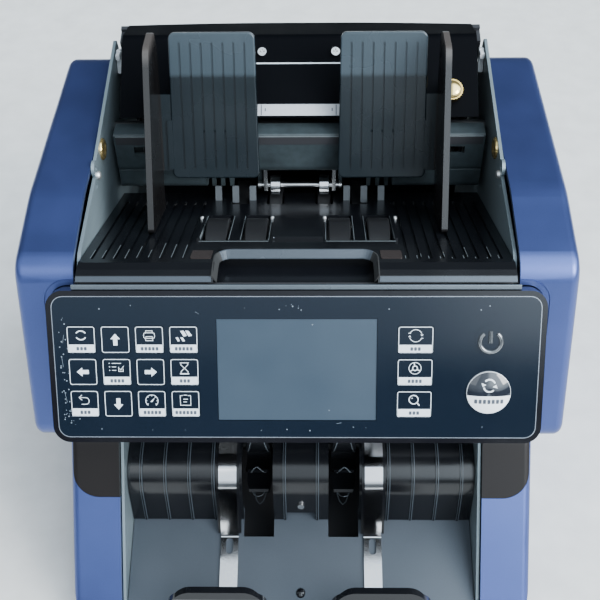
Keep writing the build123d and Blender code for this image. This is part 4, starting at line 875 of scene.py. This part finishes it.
def make_knob_crown():
    """The domed brass face of the thumb knob."""
    brass = bpy.data.materials["brass"]
    face = Vector(KNOB["pos_m"]) + WALL_OUT * KNOB_FACE * MM
    lathe("knob_crown", [(4.9, -0.2), (4.7, 0.5), (3.9, 1.2), (2.6, 1.75), (1.2, 2.0), (0, 2.05)],
          face, WALL_OUT, "knob", brass)


# Places on both side frames, as (Y, Z) in metres
CLIP_PLACE = (0.0725, 0.2590)
GROMMET_PLACE = (0.008, 0.245)
LUG_PLACE = (-0.010, 0.2415)


def make_frame_fittings():
    """White clips at the wall's ends, brass grommets and small pins on the side frames."""
    clip = surface("clip_white", (0.62, 0.64, 0.66), 0.4, bump=0.1, scale=900)
    brass = bpy.data.materials["brass"]
    steel = bpy.data.materials["screw_steel"]
    wall = abs(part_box("left_side_frame")[1].x)
    leaning = (Vector((1, 0, 0)), Vector((0, 0.30, 0.954)), Vector((0, 0.954, -0.30)))
    upright = (Vector((1, 0, 0)), Vector((0, 0, 1)), Vector((0, 1, 0)))
    grommet = [(5.6, 0.0), (5.6, 0.9), (4.9, 1.5), (3.4, 1.5), (3.0, 0.9), (1.9, 0.8), (0, 0.8)]
    for side, word in ((-1, "left"), (1, "right")):
        bm = bmesh.new()
        place = Vector((side * (wall - 1.7 * MM), *CLIP_PLACE))
        slab(bm, place, leaning, (2.6, 13.0, 3.2), 0.6)
        slab(bm, place + Vector((0, -0.0018, 0.0045)), upright, (2.4, 3.0, 5.0), 0.5)
        finish_mesh(bm, "wall_clip_" + word, "chassis", clip)
        foot = side * (wall + 0.1 * MM)
        lathe("grommet_" + word, grommet, Vector((foot, *GROMMET_PLACE)), (-side, 0, 0),
              "chassis", brass)
        lathe("lug_pin_" + word, [(2.1, 0.0), (2.1, 1.2), (1.5, 1.9), (0, 2.1)],
              Vector((foot, *LUG_PLACE)), (-side, 0, 0), "chassis", steel)


# ---------------------------------------------------------------- hopper

TRAY_SLOPE = math.radians(21.33)
TRAY_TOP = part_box("hopper_tray")[1].z
TRAY_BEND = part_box("hopper_tray")[0].y + 11.0 * MM
TRAY_AXES = tilt(math.cos(TRAY_SLOPE), -math.sin(TRAY_SLOPE))
TRAY_ORIGIN = Vector((0, TRAY_BEND, TRAY_TOP))

# The finger recess, in millimetres: its half width, corner radius, rear and front edges
RECESS_HALF = 38.0
RECESS_CORNER = 6.5
RECESS_REAR = -59.6
RECESS_FRONT = -81.5

# Across the tray: the roller slots, the pins beside them, the bars behind them and the grooves
SLOT_PLACES = (-40.75, -21.0, 21.0, 40.75)
SLOT_HALF = 7.0
PIN_PLACES = (-50.4, -13.6, 13.6, 50.4)
BAR_PLACES = (26.0, 35.5, 45.0)
GROOVE_START = 52.0
GROOVE_PITCH = 5.4


def tray_point(x, along, lift=0.0):
    right, down, out = TRAY_AXES
    return TRAY_ORIGIN + (right * x + down * along + out * lift) * MM


def make_recess_rim(light, dark):
    """A chamfer that runs round the finger recess: a painted highlight at the rear, the tray's own dark
    plastic down both sides.
    """
    half, corner, rear = RECESS_HALF, RECESS_CORNER, RECESS_REAR
    slope = math.tan(TRAY_SLOPE)

    def height(y, lift):
        return TRAY_TOP / MM - max(0.0, y - TRAY_BEND / MM) * slope + lift

    path = [(-half, RECESS_FRONT, 0.25), (-half, -76.0, 0.25), (-half, -71.0, 0.4),
            (-half, rear - corner, 0.9)]
    for k in range(1, 7):
        angle = math.pi - k * math.pi / 12
        path.append((-half + corner + corner * math.cos(angle), rear - corner + corner * math.sin(angle),
                     0.9 + 1.3 * k / 6))
    path += [(x, rear, 2.2) for x in (-20.0, -8.0)]
    path += [(-x, y, lift) for x, y, lift in reversed(path)]
    rings = []
    for i, (x, y, lift) in enumerate(path):
        before = path[max(i - 1, 0)]
        after = path[min(i + 1, len(path) - 1)]
        along = Vector((after[0] - before[0], after[1] - before[1])).normalized()
        inward = Vector((along.y, -along.x))
        ring = []
        for out, down in ((-0.4, 0.0), (0.2, 0.0), (2.0, 3.7), (2.0, 4.2), (-0.4, 1.0)):
            spot = Vector((x, y)) + inward * out
            ring.append(Vector((spot.x, spot.y, height(y, lift) - down)) * MM)
        rings.append(ring)
    turn = 6    # the ring, halfway round a corner, where the shade changes
    last = len(rings) - 1
    # The rear part takes the painted highlight, the sides the tray's plastic
    for word, first, end, material in (("left", 0, turn, dark), ("rear", turn, last - turn, light),
                                       ("right", last - turn, last, dark)):
        bm = bmesh.new()
        bridge(bm, [[bm.verts.new(point) for point in ring] for ring in rings[first:end + 1]])
        finish_mesh(bm, "recess_rim_" + word, "chassis", material)


def make_tray_lip(material):
    """A painted highlight along the front edge of the tray on both sides of the recess, and a dark strip of
    painted shade in the gap below.
    """
    bm = bmesh.new()
    # Painted highlight: a lighter strip on each side of the recess
    for side in (-1, 1):
        slab(bm, Vector((side * 69.4, -81.7, 235.35)) * MM, tilt(0.841, 0.541), (62.0, 2.6, 0.3), 0.1)
    finish_mesh(bm, "tray_lip", "chassis", material)
    # Painted shade: a black strip that darkens the gap under the tray's front
    bm = bmesh.new()
    slab(bm, Vector((0.0, -82.3, 230.4)) * MM, tilt(1, 0), (199.0, 7.0, 0.6), 0.2)
    finish_mesh(bm, "tray_gap_shade", "chassis", bpy.data.materials["black_plastic"])


def make_tray_details():
    """The recess's rim and the tray's lip with painted highlights, painted highlights along groove and slot
    edges, guide bars and bright pins.
    """
    tray = skin("hopper_tray")
    # Painted highlight for the rear of the recess's rim
    rim = surface("rim_painted_glint", (0.115, 0.135, 0.160), 0.26, metallic=0.6, bump=0.08, scale=900)
    # Painted highlight for the tray's front edge
    lip = surface("lip_painted_glint", (0.065, 0.078, 0.095), 0.22, metallic=0.5, bump=0.08, scale=900)
    # Painted highlight: light lines along edges, on the tray and the feed cover
    edge = surface("edge_glint_paint", (0.16, 0.18, 0.19), 0.35, metallic=0.3, bump=0.1, scale=900)
    steel = bpy.data.materials["screw_steel"]
    make_recess_rim(rim, bpy.data.materials["tray_plastic"])
    make_tray_lip(lip)
    # Painted highlights along the groove edges
    grooves = Ink("groove_edges", TRAY_ORIGIN, "chassis", 0.10, -0.10, axes=TRAY_AXES, onto=tray, reach=6.0)
    shake = random.Random(5)
    for index in range(9):
        x = GROOVE_START + index * GROOVE_PITCH
        start = 5.6 + shake.uniform(0, 2.0)
        grooves.line([(-x - 1.0, start), (-x - 1.0, start + shake.uniform(9, 22))], 0.30)
        grooves.line([(x - 1.0, 5.8), (x - 1.0, 7.0 + shake.uniform(0, 3.0))], 0.34)
        if index % 2:
            grooves.line([(x + 1.0, 8.0), (x + 1.0, 12 + shake.uniform(0, 12.0))], 0.22)
    grooves.done(edge)
    bars = surface("bar_grey", (0.085, 0.095, 0.105), 0.35, metallic=0.3, bump=0.1, scale=900)
    bm = bmesh.new()
    for x in BAR_PLACES:
        for side in (-1, 1):
            slab(bm, tray_point(side * x, 104.0, 3.4), tilt(0.42, 0.907), (3.6, 9.5, 1.4), 0.5)
    finish_mesh(bm, "feed_bars", "chassis", bars)
    for number, x in enumerate(PIN_PLACES):
        lathe("slot_pin_%d" % number, [(1.15, -0.3), (1.15, 0.8), (0.8, 1.4), (0, 1.6)],
              tray_point(x, 68.0), TRAY_AXES[2], "chassis", steel, 14)
    # Painted highlights along the slot edges and on a line in front of them
    frames = Ink("slot_edges", TRAY_ORIGIN, "chassis", 0.16, -0.10, axes=TRAY_AXES, onto=tray, reach=6.0)
    for x in SLOT_PLACES:
        for side in (-1, 1):
            frames.line([(x + side * SLOT_HALF, 33.5), (x + side * SLOT_HALF, 73.0)], 0.34)
    for side in (-1, 1):
        frames.line([(side * 48.2, 31.0), (side * 14.0, 31.0)], 0.30)
    frames.done(edge)


# The paddles: their lean, the pitch of their grooves, and their foot's place in the guide's box
PADDLE_LEAN = math.radians(21.0)
PADDLE_PITCH = 5.5
PADDLE_HALF = 22.9
FOOT_BACK = 44.0
FOOT_DROP = 74.0


def make_guide_marks():
    """Painted highlights along the grooves of both paddles, brighter on the left one."""
    axes = tilt(math.sin(PADDLE_LEAN), math.cos(PADDLE_LEAN))
    light = surface("paddle_glint_bright", (0.13, 0.12, 0.11), 0.4, metallic=0.2, bump=0.1, scale=900)
    faint = surface("paddle_glint_dim", (0.022, 0.026, 0.03), 0.4, bump=0.1, scale=900)
    # The left paddle's lines are painted brighter, the right one's dimmer
    for side, word, material in ((-1, "left", light), (1, "right", faint)):
        node = word + "_note_guide"
        low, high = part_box(node)
        inner = low.x if side > 0 else high.x
        foot = Vector((inner + side * PADDLE_HALF * MM, low.y + FOOT_BACK * MM, high.z - FOOT_DROP * MM))
        ink = Ink("paddle_lines_" + word, foot, word + "_guide", 0.06, -0.06, axes=axes)
        for index in range(7):
            x = (index - 3) * PADDLE_PITCH + 0.78
            ink.line([(x, 6.0), (x, 69.0)], 0.26)
        ink.done(material)


# ---------------------------------------------------------------- stacker

DEFLECTOR_SIDE = [(-71.6, 33.4), (-70.1, 74.1), (0.0, 84.2)]
DEFLECTOR_BEND = 21
RIB_PLACES = (9.6, 51.0, 65.0, 79.0, 93.0)

# A vane's inner face is an arc in (Y, Z). Its centre is measured from the wheel's axis
WHEEL_X = 25.2
VANE_COUNT = 10
VANE_CENTRE = Vector((9.6145, -20.3974))
VANE_RADIUS = 20.401
VANE_HALF = 6.4


def make_stacker_details():
    """Painted highlights along the rib edges on the deflector, the step plate at the front and a dark sensor
    dome.
    """
    # Painted highlights: light lines beside each rib of the deflector
    glint_paint = surface("rib_edge", (0.035, 0.045, 0.055), 0.35, bump=0.1, scale=900)
    path = side_path(DEFLECTOR_SIDE, DEFLECTOR_BEND)
    bm = bmesh.new()
    for place in RIB_PLACES:
        for x in (-place, place):
            ribbon(bm, path, x - 0.55, 0.30, 0.10)
            ribbon(bm, path, x + 0.75, 0.55, 0.02)
    finish_mesh(bm, "rib_edges", "chassis", glint_paint)
    step = surface("step_satin", (0.16, 0.18, 0.20), 0.3, metallic=0.6, bump=0.08, scale=900)
    bm = bmesh.new()
    slab(bm, Vector((0.0, -0.1190, 0.0127)), tilt(0.927, 0.374), (36.0, 5.0, 1.0), 0.4)
    finish_mesh(bm, "step_plate", "chassis", step)
    dome = surface("sensor_dome", (0.006, 0.006, 0.008), 0.15, bump=0.03, scale=900)
    lathe("plate_sensor", [(2.6, -0.6), (2.5, 0.5), (1.7, 1.1), (0, 1.4)], Vector((0, -0.1102, 0.0153)),
          (0, -0.374, 0.927), "chassis", dome, 20)


def make_vane_edges():
    """A painted highlight: a light pointed outline on the outer face of every vane of both wheels."""
    # Painted highlight for the vanes' edges
    glint_paint = surface("vane_edge", (0.10, 0.115, 0.13), 0.30, metallic=0.3, bump=0.1, scale=900)
    low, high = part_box("stacker_wheels")
    hub = Vector(((low.y + high.y) / 2, (low.z + high.z) / 2)) / MM
    angles = [math.radians(angle) for angle in range(72, 5, -6)]
    section = ((-0.3, 1.45), (-0.3, 1.72), (0.3, 1.72), (0.3, 1.45))
    for side, word in ((-1, "left"), (1, "right")):
        bm = bmesh.new()
        for index in range(VANE_COUNT):
            turn = math.radians(index * 360 / VANE_COUNT)
            for leg in (-1, 1):
                rows = []
                for step, angle in enumerate(angles):
                    half = VANE_HALF * (1.0 - step / (len(angles) - 1)) ** 0.55 * leg
                    ring = []
                    for across, lift in section:
                        way = Vector((math.cos(angle), math.sin(angle)))
                        spot = VANE_CENTRE + way * (VANE_RADIUS + lift)
                        ring.append(bm.verts.new(Vector((
                            side * WHEEL_X + half + across,
                            hub.x + spot.x * math.cos(turn) - spot.y * math.sin(turn),
                            hub.y + spot.x * math.sin(turn) + spot.y * math.cos(turn))) * MM))
                    rows.append(ring)
                bridge(bm, rows)
        finish_mesh(bm, "vane_edges_" + word, "stacker_rotor", glint_paint)


LIP_HALF = 97.0


def make_feed_strip():
    """A dark strip of painted shade over the upper lip of the feed cover, with a painted highlight along its
    top edge.
    """
    cover = skin("feed_cover")
    axes = tilt(0, 1)
    low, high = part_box("feed_cover")
    top = Vector((0, low.y, high.z))
    dark = bpy.data.materials["black_plastic"]
    edge = bpy.data.materials["edge_glint_paint"]
    # Painted shade: a black strip under the wall's foot
    lip = Ink("feed_lip", top, "chassis", 0.25, -0.25, axes=axes, onto=cover)
    lip.block(-LIP_HALF, -6.2, LIP_HALF, -1.0)
    lip.done(dark)
    # Painted highlight along the strip's top edge
    line = Ink("feed_top_glint", top, "chassis", 0.34, -0.10, axes=axes, onto=cover)
    line.block(-LIP_HALF, -1.4, LIP_HALF, -0.9)
    line.done(edge)


# Scratches on the panel: middle, length and angle
SCRATCHES = ((-107, 14, 4.0, 80), (-108, 3, 5.0, 96), (-104, -22, 5.0, 60), (20, -27, 2.5, 10),
             (-45, 26.5, 2.0, 150), (-107.5, -14, 6.0, 100))


def make_dust():
    """Loose grains and short scratches on the panel, thickest at its left edge."""
    shake = random.Random(11)
    grit = surface("grit", (0.17, 0.20, 0.23), 0.6, bump=0.1, scale=900)
    front = centre("panel_overlay") + PANEL_OUT * (OVERLAY_SHEET / 2 * MM)
    ink = Ink("panel_grit", front, "chassis", 0.05, -0.02)
    spots = [(-109 + abs(shake.gauss(0, 2.4)), shake.uniform(-26, 25)) for _ in range(34)]
    spots += [(-106 + shake.gauss(0, 2.5), -24 + shake.gauss(0, 3.5)) for _ in range(14)]
    spots += [(-2 + shake.gauss(0, 3), 29 + shake.gauss(0, 1)) for _ in range(7)]
    spots += [(shake.uniform(-104, 104), shake.choice((-29.5, 28.5)) + shake.uniform(-1.5, 1.5))
              for _ in range(16)]
    for x, y in spots:
        x, y = max(-109.5, min(109.5, x)), max(-31.5, min(31.5, y))
        turn = shake.uniform(0, 90)
        ink.area(arc(x, y, shake.uniform(0.12, 0.38), turn, turn + 360, 6)[:-1])
    for x, y, length, angle in SCRATCHES:
        way = Vector((math.cos(math.radians(angle)), math.sin(math.radians(angle)))) * length / 2
        ink.line([(x - way.x, y - way.y), (x + way.x, y + way.y)], 0.12)
    ink.done(grit)


make_camera()
make_lights()
make_floor()
dress_nodes()
make_key_marks()
make_power_symbol()
make_restart_mark()
make_bevel_line()
make_wall_marks()
make_knob_crown()
make_frame_fittings()
make_tray_details()
make_guide_marks()
make_power_seam()
make_stacker_details()
make_vane_edges()
make_feed_strip()
make_dust()
